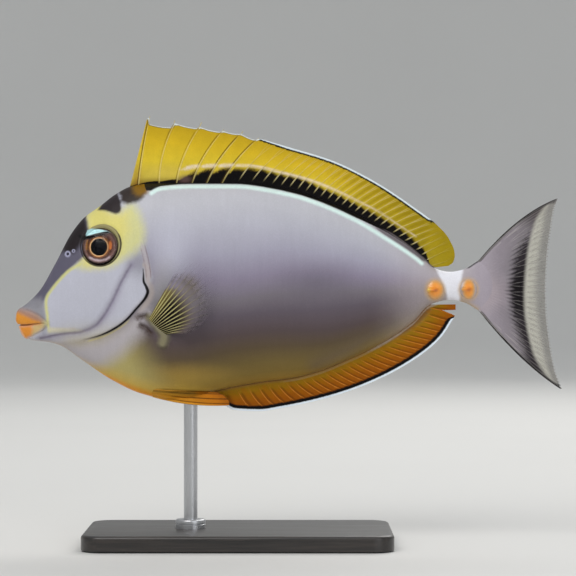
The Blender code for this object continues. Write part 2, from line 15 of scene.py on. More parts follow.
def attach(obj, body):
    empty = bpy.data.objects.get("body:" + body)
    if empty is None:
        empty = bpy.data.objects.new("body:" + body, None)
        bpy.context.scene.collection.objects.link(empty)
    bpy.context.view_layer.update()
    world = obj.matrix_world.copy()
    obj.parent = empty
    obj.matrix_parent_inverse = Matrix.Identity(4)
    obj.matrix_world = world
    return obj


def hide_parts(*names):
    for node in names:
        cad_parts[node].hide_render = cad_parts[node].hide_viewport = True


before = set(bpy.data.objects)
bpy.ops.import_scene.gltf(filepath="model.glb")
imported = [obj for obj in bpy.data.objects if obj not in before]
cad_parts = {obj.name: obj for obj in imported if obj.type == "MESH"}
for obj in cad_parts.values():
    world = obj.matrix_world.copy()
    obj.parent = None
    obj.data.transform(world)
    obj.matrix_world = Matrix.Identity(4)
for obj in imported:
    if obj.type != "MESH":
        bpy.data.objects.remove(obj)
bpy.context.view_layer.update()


# The camera looks level at the fish's left side from 0.9 m, with a long lens.
CAMERA_PLACE = (0.0, -0.9, 0.094)
CAMERA_LENS = 153.3
CAMERA_SENSOR = 36.0
CAMERA_CLIP = (0.05, 20.0)

scene = bpy.context.scene
scene.view_settings.view_transform = "Standard"
camera_data = bpy.data.cameras.new("camera")
camera_data.lens = CAMERA_LENS
camera_data.sensor_width = CAMERA_SENSOR
camera_data.clip_start, camera_data.clip_end = CAMERA_CLIP
camera = bpy.data.objects.new("camera", camera_data)
camera.location = CAMERA_PLACE
camera.rotation_euler = (math.radians(90), 0.0, 0.0)
scene.collection.objects.link(camera)
scene.camera = camera


# The studio: a round pale floor that sweeps up far behind the model on every side,
# soft panels above the front and the back, and an even pale sky.
FLOOR_FLAT = 1.7
FLOOR_SWEEP = 1.3
FLOOR_WALL = 1.2
FLOOR_STEPS = 16
FLOOR_TURNS = 96
FLOOR_TONES = ((218, 217, 214), (224, 223, 220))
SKY_COLOUR = (0.86, 0.9, 0.95)
SKY_STRENGTH = 0.62
PANELS = {
    "key_panel": ((-0.5, -0.95, 1.1), 0.9, 9.6, (1.0, 0.98, 0.95)),
    "front_panel": ((0.75, -1.15, 0.45), 0.7, 2.8, (0.95, 0.97, 1.0)),
    "back_panel": ((0.45, 0.95, 1.0), 0.9, 8.0, (1.0, 0.985, 0.96)),
}
PANEL_AIM = Vector((0.0, 0.0, 0.09))


def srgb(red, green, blue):
    """A colour given in screen values, 0 to 255, as the linear values that a shader takes."""
    return tuple(c / 12.92 if c <= 0.04045 else ((c + 0.055) / 1.055) ** 2.4
                 for c in (red / 255, green / 255, blue / 255)) + (1.0,)


def add_node(tree, kind, sockets=None, **settings):
    """A node with its settings, and each named or numbered input given a value or a link."""
    node = tree.nodes.new(kind)
    for key, value in settings.items():
        setattr(node, key, value)
    for socket, value in (sockets or {}).items():
        if isinstance(value, bpy.types.NodeSocket):
            tree.links.new(value, node.inputs[socket])
        else:
            node.inputs[socket].default_value = value
    return node


def mixed(tree, share, first, second):
    """A colour between two others."""
    return add_node(tree, "ShaderNodeMix", {0: share, 6: first, 7: second}, data_type="RGBA").outputs[2]


def worked(tree, operation, first, second=0.0):
    """The result of one sum on two numbers."""
    return add_node(tree, "ShaderNodeMath", {0: first, 1: second}, operation=operation).outputs[0]


def object_noise(tree, scale, detail=2.0, stretch=(1.0, 1.0, 1.0)):
    """Noise over the model's own coordinates, which can be drawn out along an axis."""
    place = add_node(tree, "ShaderNodeTexCoord").outputs["Object"]
    turned = add_node(tree, "ShaderNodeMapping", {"Vector": place, "Scale": stretch}).outputs[0]
    return add_node(tree, "ShaderNodeTexNoise",
                    {"Vector": turned, "Scale": scale, "Detail": detail}).outputs["Fac"]


def new_finish(name, roughness, **sockets):
    """A material, its node tree and its surface shader, with its constant values set."""
    finish = bpy.data.materials.new(name)
    finish.use_nodes = True
    shader = finish.node_tree.nodes["Principled BSDF"]
    shader.inputs["Roughness"].default_value = roughness
    for socket, value in sockets.items():
        shader.inputs[socket.replace("_", " ")].default_value = value
    return finish, finish.node_tree, shader


def coloured(tree, shader, share, first, second):
    """Let the surface's colour run from one screen colour to another, with a share from 0 to 1."""
    tree.links.new(mixed(tree, share, srgb(*first), srgb(*second)), shader.inputs["Base Color"])


def varied(tree, shader, socket, share, low, high):
    """Let one of the shader's numbers run from low to high, with a share from 0 to 1."""
    number = add_node(tree, "ShaderNodeMapRange", {0: share, 3: low, 4: high}).outputs[0]
    tree.links.new(number, shader.inputs[socket])


def embossed(tree, shader, height, strength, depth):
    """Let light fall as if a pattern were raised on the surface, by a depth in metres."""
    raised = add_node(tree, "ShaderNodeBump", {"Strength": strength, "Distance": depth, "Height": height})
    tree.links.new(raised.outputs[0], shader.inputs["Normal"])


def add_object(name, mesh, finish=None):
    """An object at the origin that shows a mesh."""
    obj = bpy.data.objects.new(name, mesh)
    scene.collection.objects.link(obj)
    if finish is not None:
        mesh.materials.clear()
        mesh.materials.append(finish)
    return obj


def face_outward(mesh, join=0.0):
    """Turn the faces of a closed shape outward, once points closer than join are made one."""
    bm = bmesh.new()
    bm.from_mesh(mesh)
    if join:
        bmesh.ops.remove_doubles(bm, verts=bm.verts, dist=join)
    bmesh.ops.recalc_face_normals(bm, faces=bm.faces)
    bm.to_mesh(mesh)
    bm.free()


def turned_mesh(name, profile, steps, axis_x=0.0):
    """A shape turned about an upright axis from (radius, height) points in metres, top to bottom."""
    mesh = bpy.data.meshes.new(name)
    turns = [2 * math.pi * k / steps for k in range(steps)]
    verts = [(axis_x + radius * math.cos(a), radius * math.sin(a), z)
             for radius, z in profile for a in turns]
    faces = []
    for i in range(len(profile) - 1):
        for k in range(steps):
            after = (k + 1) % steps
            faces.append((i * steps + k, i * steps + after, (i + 1) * steps + after, (i + 1) * steps + k))
    mesh.from_pydata(verts, [], faces)
    face_outward(mesh, 1e-6)
    mesh.shade_smooth()
    return mesh


floor_profile = [(FLOOR_FLAT + FLOOR_SWEEP, FLOOR_SWEEP + FLOOR_WALL)]
for k in range(FLOOR_STEPS + 1):
    bend = math.pi / 2 * (1 - k / FLOOR_STEPS)
    floor_profile.append((FLOOR_FLAT + FLOOR_SWEEP * math.sin(bend), FLOOR_SWEEP * (1 - math.cos(bend))))
floor_profile.append((0.0, 0.0))
floor_finish, tree, shader = new_finish("studio floor", 0.8)
coloured(tree, shader, object_noise(tree, 3.0), *FLOOR_TONES)
floor = add_object("studio_floor", turned_mesh("studio_floor", floor_profile, FLOOR_TURNS), floor_finish)
floor.data.flip_normals()

sky = bpy.data.worlds.new("studio sky")
sky.use_nodes = True
sky.node_tree.nodes["Background"].inputs["Color"].default_value = (*SKY_COLOUR, 1.0)
sky.node_tree.nodes["Background"].inputs["Strength"].default_value = SKY_STRENGTH
scene.world = sky

for name, (place_of, size, power, colour) in PANELS.items():
    panel_data = bpy.data.lights.new(name, "AREA")
    panel_data.size = size
    panel_data.energy = power
    panel_data.color = colour
    panel = bpy.data.objects.new(name, panel_data)
    panel.location = place_of
    panel.rotation_euler = (Vector(place_of) - PANEL_AIM).to_track_quat("Z", "Y").to_euler()
    scene.collection.objects.link(panel)


# The foot of the stand: a flat board of black-stained wood with round corners and a
# softened rim, on a thin sheet of felt.
MM = 0.001
BASE_SIZE = (112.0, 64.0, 6.0)
BASE_CENTRE = -18.0
BASE_CORNER = 8.0
BASE_RIM = 1.2
BOARD_TURNS = 14
RIM_TURNS = 5
BOARD_CREASE = 35
WOOD_TONES = ((24, 21, 20), (52, 45, 41))
FELT_HEIGHT = 0.5
FELT_INSET = 1.0
FELT_TONES = ((28, 30, 30), (70, 74, 73))


def board_mesh(name, size, low, corner, rim):
    """A board with round upright corners and a softened top rim; size, low, corner and rim in mm."""
    length, width, height = size
    bm = bmesh.new()
    bmesh.ops.create_cube(bm, size=1.0)
    bmesh.ops.scale(bm, vec=(length * MM, width * MM, height * MM), verts=bm.verts)
    bmesh.ops.translate(bm, vec=(BASE_CENTRE * MM, 0.0, (low + height / 2) * MM), verts=bm.verts)
    upright = [e for e in bm.edges if abs(e.verts[0].co.z - e.verts[1].co.z) > height / 2 * MM]
    bmesh.ops.bevel(bm, geom=upright, offset=corner * MM, segments=BOARD_TURNS, affect="EDGES", profile=0.5)
    top = (low + height) * MM
    edge = [e for e in bm.edges if all(abs(vert.co.z - top) < 1e-6 for vert in e.verts)]
    if rim:
        bmesh.ops.bevel(bm, geom=edge, offset=rim * MM, segments=RIM_TURNS, affect="EDGES", profile=0.5)
    bmesh.ops.recalc_face_normals(bm, faces=bm.faces)
    mesh = bpy.data.meshes.new(name)
    bm.to_mesh(mesh)
    bm.free()
    mesh.shade_smooth()
    mesh.set_sharp_from_angle(angle=math.radians(BOARD_CREASE))
    return mesh


wood, tree, shader = new_finish("stained wood", 0.38, Coat_Weight=0.35, Coat_Roughness=0.22)
grain = object_noise(tree, 90.0, 6.0, (0.35, 6.0, 6.0))
pores = object_noise(tree, 420.0, 3.0, (0.12, 3.0, 3.0))
figure = worked(tree, "MULTIPLY", grain, pores)
wood_ramp = add_node(tree, "ShaderNodeMapRange", {0: figure, 1: 0.12, 2: 0.42}).outputs[0]
coloured(tree, shader, wood_ramp, *WOOD_TONES)
varied(tree, shader, "Roughness", pores, 0.3, 0.5)
embossed(tree, shader, figure, 0.25, 0.0002)
wood_size = (BASE_SIZE[0], BASE_SIZE[1], BASE_SIZE[2] - FELT_HEIGHT)
board_shape = board_mesh("stand_board", wood_size, FELT_HEIGHT, BASE_CORNER, BASE_RIM)
board = add_object("stand_board", board_shape, wood)
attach(board, "root")
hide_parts("stand_base")

felt_finish, tree, shader = new_finish("felt", 0.95, Sheen_Weight=0.4)
fibres = object_noise(tree, 2600.0, 3.0)
coloured(tree, shader, fibres, *FELT_TONES)
embossed(tree, shader, fibres, 0.8, 0.0002)
felt_size = (BASE_SIZE[0] - 2 * FELT_INSET, BASE_SIZE[1] - 2 * FELT_INSET, FELT_HEIGHT)
felt_shape = board_mesh("stand_felt", felt_size, 0.0, BASE_CORNER - FELT_INSET, 0.0)
felt = add_object("stand_felt", felt_shape, felt_finish)
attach(felt, "root")


# The rod and its collar: drawn stainless bar, let into the board, with a turned collar
# that covers the joint; the rod's top end goes up into the belly.
ROD_U = 64.3
ROD_RADIUS = 2.5
ROD_FOOT = 2.3
ROD_TOP = 65.0
ROD_TIP = 0.8
COLLAR_RADIUS = 5.5
COLLAR_LOW = 6.0
COLLAR_HIGH = 9.3
COLLAR_EDGE = 0.6
COLLAR_GROOVE = 0.25
COLLAR_STEPS = 4
ROD_TURNS = 64
COLLAR_TURNS = 72
ROD_CREASE = 40
COLLAR_CREASE = 30
STEEL_TONES = ((172, 174, 178), (214, 215, 217))
rod_x = (ROD_U - 100.0) * MM

steel, tree, shader = new_finish("brushed steel", 0.28, Metallic=1.0)
drawn = object_noise(tree, 700.0, 4.0, (8.0, 8.0, 0.35))
coloured(tree, shader, drawn, *STEEL_TONES)
varied(tree, shader, "Roughness", drawn, 0.2, 0.42)
embossed(tree, shader, drawn, 0.12, 0.00005)

rod_profile = [(0.0, ROD_TOP), (ROD_RADIUS - ROD_TIP, ROD_TOP), (ROD_RADIUS, ROD_TOP - ROD_TIP),
               (ROD_RADIUS, ROD_FOOT), (0.0, ROD_FOOT)]
rod_mesh = turned_mesh("stand_rod_bar", [(r * MM, z * MM) for r, z in rod_profile], ROD_TURNS, rod_x)
rod_mesh.set_sharp_from_angle(angle=math.radians(ROD_CREASE))
rod = add_object("stand_rod_bar", rod_mesh, steel)
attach(rod, "root")
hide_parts("stand_rod")

collar_profile = [(ROD_RADIUS, COLLAR_HIGH), (COLLAR_RADIUS - COLLAR_EDGE, COLLAR_HIGH)]
for k in range(1, COLLAR_STEPS + 1):
    bend = math.pi / 2 * k / COLLAR_STEPS
    collar_profile.append((COLLAR_RADIUS - COLLAR_EDGE * (1 - math.sin(bend)),
                           COLLAR_HIGH - COLLAR_EDGE * (1 - math.cos(bend))))
middle_z = (COLLAR_LOW + COLLAR_HIGH) / 2
collar_profile += [(COLLAR_RADIUS, middle_z + COLLAR_GROOVE), (COLLAR_RADIUS - COLLAR_GROOVE, middle_z),
                   (COLLAR_RADIUS, middle_z - COLLAR_GROOVE), (COLLAR_RADIUS, COLLAR_LOW),
                   (ROD_RADIUS, COLLAR_LOW), (ROD_RADIUS, COLLAR_HIGH)]
collar_mesh = turned_mesh("stand_collar_ring", [(r * MM, z * MM) for r, z in collar_profile],
                          COLLAR_TURNS, rod_x)
collar_mesh.set_sharp_from_angle(angle=math.radians(COLLAR_CREASE))
collar = add_object("stand_collar_ring", collar_mesh, steel)
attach(collar, "root")
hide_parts("stand_collar")


# The skin: one closed piece over head, lips, gill covers, trunk and tail stalk, cast and
# painted. Its scales are so small that they are velvet to the eye, so they are fine bump.
BACK = [(0.0, -11.5), (0.3, -9.2), (1.2, -7.7), (3.0, -6.5), (8.7, -1.1), (14.5, 8.8),
        (20.4, 19.9), (25.0, 25.7), (31.4, 30.4), (36.5, 34.3), (42.3, 37.3), (50.0, 38.5),
        (64.0, 38.6), (83.0, 38.4), (97.2, 36.9), (111.9, 32.8), (126.5, 26.4),
        (141.2, 17.6), (150.0, 10.5), (153.5, 7.4), (159.5, 6.0), (164.2, 6.8), (169.7, 10.0),
        (172.5, 11.4), (175.0, 11.0), (177.0, 8.0), (178.0, 1.5)]
BELLY = [(0.0, -11.5), (0.5, -13.3), (1.4, -15.2), (2.6, -17.6), (4.5, -18.9),
         (12.3, -19.9), (16.0, -20.9), (24.0, -26.2), (35.8, -34.0), (46.0, -38.7),
         (57.0, -41.0), (63.6, -40.6), (69.8, -39.0), (76.0, -37.2), (89.9, -34.6),
         (102.0, -33.0), (111.9, -30.4), (119.2, -27.5), (133.8, -20.6), (145.9, -12.4),
         (152.1, -6.2), (159.5, -4.4), (165.0, -5.5), (169.7, -8.2), (172.5, -9.4), (175.0, -9.0),
         (177.0, -6.0), (178.0, 0.3)]
MIDDLE = [(0.0, -11.5), (4.0, -12.2), (12.0, -9.5), (20.0, -3.0), (32.0, 3.5), (50.0, 2.5),
          (80.0, 1.5), (120.0, 1.0), (150.0, 0.3), (169.7, 0.9), (178.0, 0.9)]
HALF_WIDTH = [(0.0, 0.6), (0.3, 1.7), (1.2, 2.6), (3.0, 3.4), (8.0, 4.5), (14.5, 6.0),
              (20.4, 7.7), (31.4, 10.3), (42.3, 12.3), (52.0, 13.3), (64.0, 13.7),
              (83.0, 13.3), (97.2, 12.3), (111.9, 10.6), (126.5, 8.5), (141.2, 5.9),
              (152.0, 4.0), (160.0, 3.1), (169.7, 1.45), (173.0, 1.0), (176.0, 0.55), (178.0, 0.2)]
BACK_TAPER = 1.06
BELLY_TAPER = 0.96
BODY_END = 178.0
LINE_HEIGHT = 94.0
HALF_LENGTH = 100.0
SKIN_DEPTH = 0.06
RING_SPACING = 0.95
AROUND = 168
FINEST = 3

MOUTH = [(-4.0, -13.9), (1.5, -13.8), (5.7, -13.5), (9.0, -13.1), (10.7, -13.0)]
LIP_EDGE = [(0.2, -6.2), (3.6, -7.9), (7.2, -9.2), (10.5, -11.2), (12.1, -13.5), (10.1, -15.9),
            (7.2, -17.4), (4.4, -19.4)]
GILL_MARGIN = [(46.4, 19.5), (48.2, 15.0), (49.5, 10.0), (50.2, 6.0), (50.4, 2.5), (50.2, -0.5)]
GILL_EDGE = [(47.4, 6.8), (47.5, 4.6), (47.6, 2.2), (48.6, 0.2), (49.0, -1.6), (47.8, -4.1), (44.7, -7.6),
             (41.8, -10.9), (38.3, -13.7), (33.6, -16.3), (29.2, -17.9), (24.0, -19.2)]
PREOPERCLE = [(43.2, 8.4), (39.6, 2.2), (36.1, -5.1), (32.8, -10.6), (29.7, -13.9), (24.9, -16.1),
              (18.6, -16.9), (12.6, -17.9), (9.4, -18.4)]
SIDES = (("left", -1.0), ("right", 1.0))
EYE_CENTRE = (31.8, 15.0)
EYE_FORWARD = 9.0
EYE_UPWARD = 8.0
EYE_RADIUS = 6.95
EYE_RIM = (31.9, 15.6)
SOCKET_DEPTH = 3.2
NOSTRILS = {"front": ((19.6, 12.4), 0.95), "rear": ((21.8, 13.5), 0.55)}
BREAST_FIN_FOOT = [(50.4, -10.8), (53.0, -13.8), (55.2, -17.0), (54.6, -20.0)]
BREAST_FIN_FOLDS = ([(45.8, -10.6), (48.6, -10.0), (50.2, -11.6)],
                    [(46.6, -13.6), (48.4, -14.4), (50.2, -16.2)])
MOUTH_SLIT = (1.0, 0.26)
MOUTH_ROLL = (0.45, 0.8)
LIP_FOLD = (0.26, 0.5)
GILL_FLAP_RUN = 1.7
GILL_FLAP_SWELL = 0.1
MARGIN_STEP = 0.45
MARGIN_RUN = 1.2
CHEEK_GROOVE = (0.28, 0.5)
CHEEK_HOLLOW = (0.2, 1.6)
EYE_RING = 7.1
EYE_OUTLINE = 7.68
EYE_RING_SWELL = (0.4, 0.42)
EYE_RING_GROOVE = (0.16, 0.3)
FIN_FOOT_SWELL = 1.0
FOLD_GROOVE = (0.6, 0.6)


def unit(x):
    """Values held between 0 and 1."""
    return np.clip(x, 0.0, 1.0)


def smooth_curve(stations):
    """A function that runs smoothly, and without overshoot, through (x, value) stations."""
    xs, ys = np.array(stations, dtype=float).T
    step = np.diff(xs)
    rise = np.diff(ys) / step
    slope = np.concatenate([rise[:1], np.zeros(len(xs) - 2), rise[-1:]])
    for i in range(1, len(xs) - 1):
        if rise[i - 1] * rise[i] > 0:
            before = 2 * step[i] + step[i - 1]
            after = step[i] + 2 * step[i - 1]
            slope[i] = (before + after) / (before / rise[i - 1] + after / rise[i])

    def value(x):
        i = np.clip(np.searchsorted(xs, x) - 1, 0, len(step) - 1)
        t = unit((x - xs[i]) / step[i])
        start = ys[i] * (1 + 2 * t) * (1 - t) ** 2 + slope[i] * step[i] * t * (1 - t) ** 2
        return start + ys[i + 1] * t * t * (3 - 2 * t) + slope[i + 1] * step[i] * t * t * (t - 1)

    return value


def smooth_path(points, steps=6):
    """Points joined by a smooth curve, with so many steps a span."""
    rows = np.array(points, dtype=float)
    padded = np.vstack([2 * rows[0] - rows[1], rows, 2 * rows[-1] - rows[-2]])
    path = []
    for i in range(1, len(padded) - 2):
        p0, p1, p2, p3 = padded[i - 1:i + 3]
        for t in np.arange(steps) / steps:
            path.append(0.5 * (2 * p1 + (p2 - p0) * t + (2 * p0 - 5 * p1 + 4 * p2 - p3) * t ** 2
                               + (3 * p1 - p0 - 3 * p2 + p3) * t ** 3))
    return np.array(path + [rows[-1]])


def path_distance(path, u, v):
    """Distance of points from a path, the share of the path passed at the nearest spot, and the
    side they lie on: 1 on the left of the way it runs, -1 on the right."""
    rows = np.array(path, dtype=float)
    lengths = np.linalg.norm(np.diff(rows, axis=0), axis=1)
    passed = np.concatenate([[0.0], np.cumsum(lengths)])
    gap = np.full(u.shape, 1e9)
    share = np.zeros(u.shape)
    side = np.ones(u.shape)
    for i, length in enumerate(lengths):
        run = (rows[i + 1] - rows[i]) / length
        du = u - rows[i][0]
        dv = v - rows[i][1]
        along = np.clip(du * run[0] + dv * run[1], 0.0, length)
        here = np.hypot(du - along * run[0], dv - along * run[1])
        closer = here < gap
        gap = np.where(closer, here, gap)
        share = np.where(closer, (passed[i] + along) / passed[-1], share)
        side = np.where(closer, np.where(run[0] * dv - run[1] * du > 0, 1.0, -1.0), side)
    return gap, share, side


def outline_distance(outline, u, v):
    """Distance of points from a closed outline, negative inside it."""
    rows = np.array(list(outline) + [outline[0]], dtype=float)
    within = np.zeros(u.shape, dtype=bool)
    for (u0, v0), (u1, v1) in zip(rows[:-1], rows[1:]):
        if v0 != v1:
            within ^= ((v0 > v) != (v1 > v)) & (u < (u1 - u0) * (v - v0) / (v1 - v0) + u0)
    gap = path_distance(rows, u, v)[0]
    return np.where(within, -gap, gap)


def ramp(x, low, high):
    """0 below low, 1 above high, and a smooth rise between."""
    t = unit((x - low) / (high - low))
    return t * t * (3 - 2 * t)


def hump(x, width):
    """A round hump of height 1 at 0."""
    return np.exp(-(x / width) ** 2)


def spot_distance(spot, u, v):
    """Distance of points from a spot, negative inside it. A spot is its centre u and v, how many
    times wider and higher than a circle it is, and the circle's radius."""
    centre_u, centre_v, wide, high, radius = spot
    return np.hypot((u - centre_u) / wide, (v - centre_v) / high) - radius


back = smooth_curve(BACK)
belly = smooth_curve(BELLY)
middle = smooth_curve(MIDDLE)
widest = smooth_curve(HALF_WIDTH)


def section(u, turn):
    """The y and v of the body's surface at a turn: 0 on the back, half a turn on the belly."""
    upper = np.cos(turn) >= 0
    edge = np.where(upper, back(u), belly(u))
    taper = np.where(upper, BACK_TAPER, BELLY_TAPER)
    v = middle(u) + np.abs(edge - middle(u)) * np.cos(turn)
    return -np.sign(np.sin(turn)) * widest(u) * np.abs(np.sin(turn)) ** taper, v


def half_width(u, v):
    """Half width of the body at a point of its side view, 0 outside it."""
    above = v > middle(u)
    reach = np.where(above, back(u) - middle(u), middle(u) - belly(u))
    share = np.minimum(np.abs(v - middle(u)) / np.maximum(reach, 0.01), 1.0)
    return widest(u) * (1.0 - share ** 2) ** (np.where(above, BACK_TAPER, BELLY_TAPER) / 2)


def placed(u, y, v):
    """Points of the model in metres."""
    return np.stack([(u - HALF_LENGTH) * MM, y * MM, (v + LINE_HEIGHT) * MM], axis=-1)


def eye_matrix(side):
    """The eye's own frame in metres, at the skin, with its Z axis pointing out."""
    outward = Vector((-math.sin(math.radians(EYE_FORWARD)), side, math.sin(math.radians(EYE_UPWARD))))
    u, v = EYE_CENTRE
    place_of = Vector(placed(np.float64(u), side * half_width(np.float64(u), v), np.float64(v)))
    across = Vector((1.0, 0.0, 0.0))
    out = outward.normalized()
    across = (across - out * across.dot(out)).normalized()
    turn = Matrix((across, out.cross(across), out)).transposed()
    return Matrix.Translation(place_of) @ turn.to_4x4()


def from_eye(u, y, v, centre):
    """Distance from the line of sight of the eye on the same side, measured across it."""
    cu, cv = centre
    out = np.array([-math.sin(math.radians(EYE_FORWARD)), 1.0, math.sin(math.radians(EYE_UPWARD))])
    out /= np.linalg.norm(out)
    gap = np.stack([u - cu, np.abs(y) - half_width(np.float64(cu), cv), v - cv], axis=-1)
    along = gap @ out
    near = np.abs(along) < 6.0
    return np.where(near, np.linalg.norm(gap - along[..., None] * out, axis=-1), 50.0)


mouth_path = smooth_path(MOUTH)
gill_path = smooth_path(GILL_EDGE)
margin_path = smooth_path(GILL_MARGIN)
preopercle_path = smooth_path(PREOPERCLE)
lip_path = smooth_path(LIP_EDGE)
foot_path = smooth_path(BREAST_FIN_FOOT)


HEAD_FACES = 0.62
TRUNK_FACES = 1.1
STALK_FACES = 0.75
MUZZLE_FACES = 0.34
EYE_RING_FACES = 0.22
NOSTRIL_FACES = 0.13
FINE_LINES = [(mouth_path, 1.0, 0.13), (lip_path, 0.7, 0.24), (gill_path, 0.9, 0.22), (margin_path, 0.6, 0.3),
              (preopercle_path, 1.0, 0.34), (foot_path, 2.4, 0.36), (BREAST_FIN_FOLDS[0], 1.2, 0.25),
              (BREAST_FIN_FOLDS[1], 1.2, 0.25)]


def wanted_size(u, y, v):
    """How large a face of the skin may be, in mm: small where the head's details are."""
    size = np.where(u < 54, HEAD_FACES, TRUNK_FACES)
    size = np.where(u > 151, STALK_FACES, size)
    size = np.where((u < 13) & (v < -4), MUZZLE_FACES, size)
    for path, reach, fine in FINE_LINES:
        size = np.where(path_distance(path, u, v)[0] < reach, np.minimum(size, fine), size)
    rim = np.abs(from_eye(u, y, v, EYE_CENTRE) - EYE_RING)
    size = np.where(rim < 1.2, np.minimum(size, EYE_RING_FACES), size)
    for (cu, cv), radius in NOSTRILS.values():
        size = np.where(np.hypot(u - cu, v - cv) < 1.8 * radius, NOSTRIL_FACES, size)
    return size


def skin_relief(u, y, v):
    """How far the skin stands out from the plain body, in mm: folds, lips, sockets and flaps."""
    relief = np.full(u.shape, -SKIN_DEPTH)
    gap, share, _ = path_distance(mouth_path, u, v)
    depth, width = MOUTH_SLIT
    relief -= (depth - 0.6 * ramp(share, 0.4, 1.0)) * hump(gap, width)
    depth, width = MOUTH_ROLL
    relief -= depth * np.exp(-gap / width) * (1 - ramp(share, 0.75, 1.0))
    depth, width = LIP_FOLD
    relief -= depth * hump(path_distance(lip_path, u, v)[0], width) * ramp(u, 1.5, 5.0)
    gap, share, side = path_distance(gill_path, u, v)
    behind = gap * side
    strength = (0.6 * ramp(share, 0.0, 0.1) + 0.55 * ramp(share, 0.12, 0.3)) * (1 - ramp(share, 0.82, 1.0))
    relief -= strength * ramp(behind, -0.14, 0.16) * np.exp(-np.maximum(behind, 0.0) / GILL_FLAP_RUN)
    relief += GILL_FLAP_SWELL * strength * hump(behind + 0.9, 0.8)
    gap, share, side = path_distance(margin_path, u, v)
    behind = gap * side
    strength = MARGIN_STEP * ramp(share, 0.0, 0.25) * (1 - ramp(share, 0.7, 1.0))
    relief -= strength * ramp(behind, -0.12, 0.14) * np.exp(-np.maximum(behind, 0.0) / MARGIN_RUN)
    gap, share, _ = path_distance(preopercle_path, u, v)
    fade = ramp(share, 0.0, 0.12) * (1 - ramp(share, 0.85, 1.0))
    for depth, width in (CHEEK_GROOVE, CHEEK_HOLLOW):
        relief -= fade * depth * hump(gap, width)
    radius = from_eye(u, y, v, EYE_CENTRE)
    relief -= SOCKET_DEPTH * (1 - ramp(radius, 6.3, 6.95))
    ring = from_eye(u, y, v, EYE_RIM)
    height, width = EYE_RING_SWELL
    relief += height * hump(ring - EYE_RING, width) * ramp(radius, 6.6, 7.0)
    depth, width = EYE_RING_GROOVE
    relief -= depth * hump(ring - EYE_RING - 0.9, width)
    for (cu, cv), size in NOSTRILS.values():
        out = np.hypot(u - cu, v - cv)
        relief += 0.24 * size * hump(out - 0.85 * size, 0.3 * size)
        relief -= 1.0 * size * (1 - ramp(out, 0.25 * size, 0.6 * size))
    gap = path_distance(foot_path, u, v)[0]
    relief += FIN_FOOT_SWELL * (1 - ramp(gap, 0.8, 2.5))
    depth, width = FOLD_GROOVE
    for fold in BREAST_FIN_FOLDS:
        relief -= depth * hump(path_distance(fold, u, v)[0], width)
    return relief


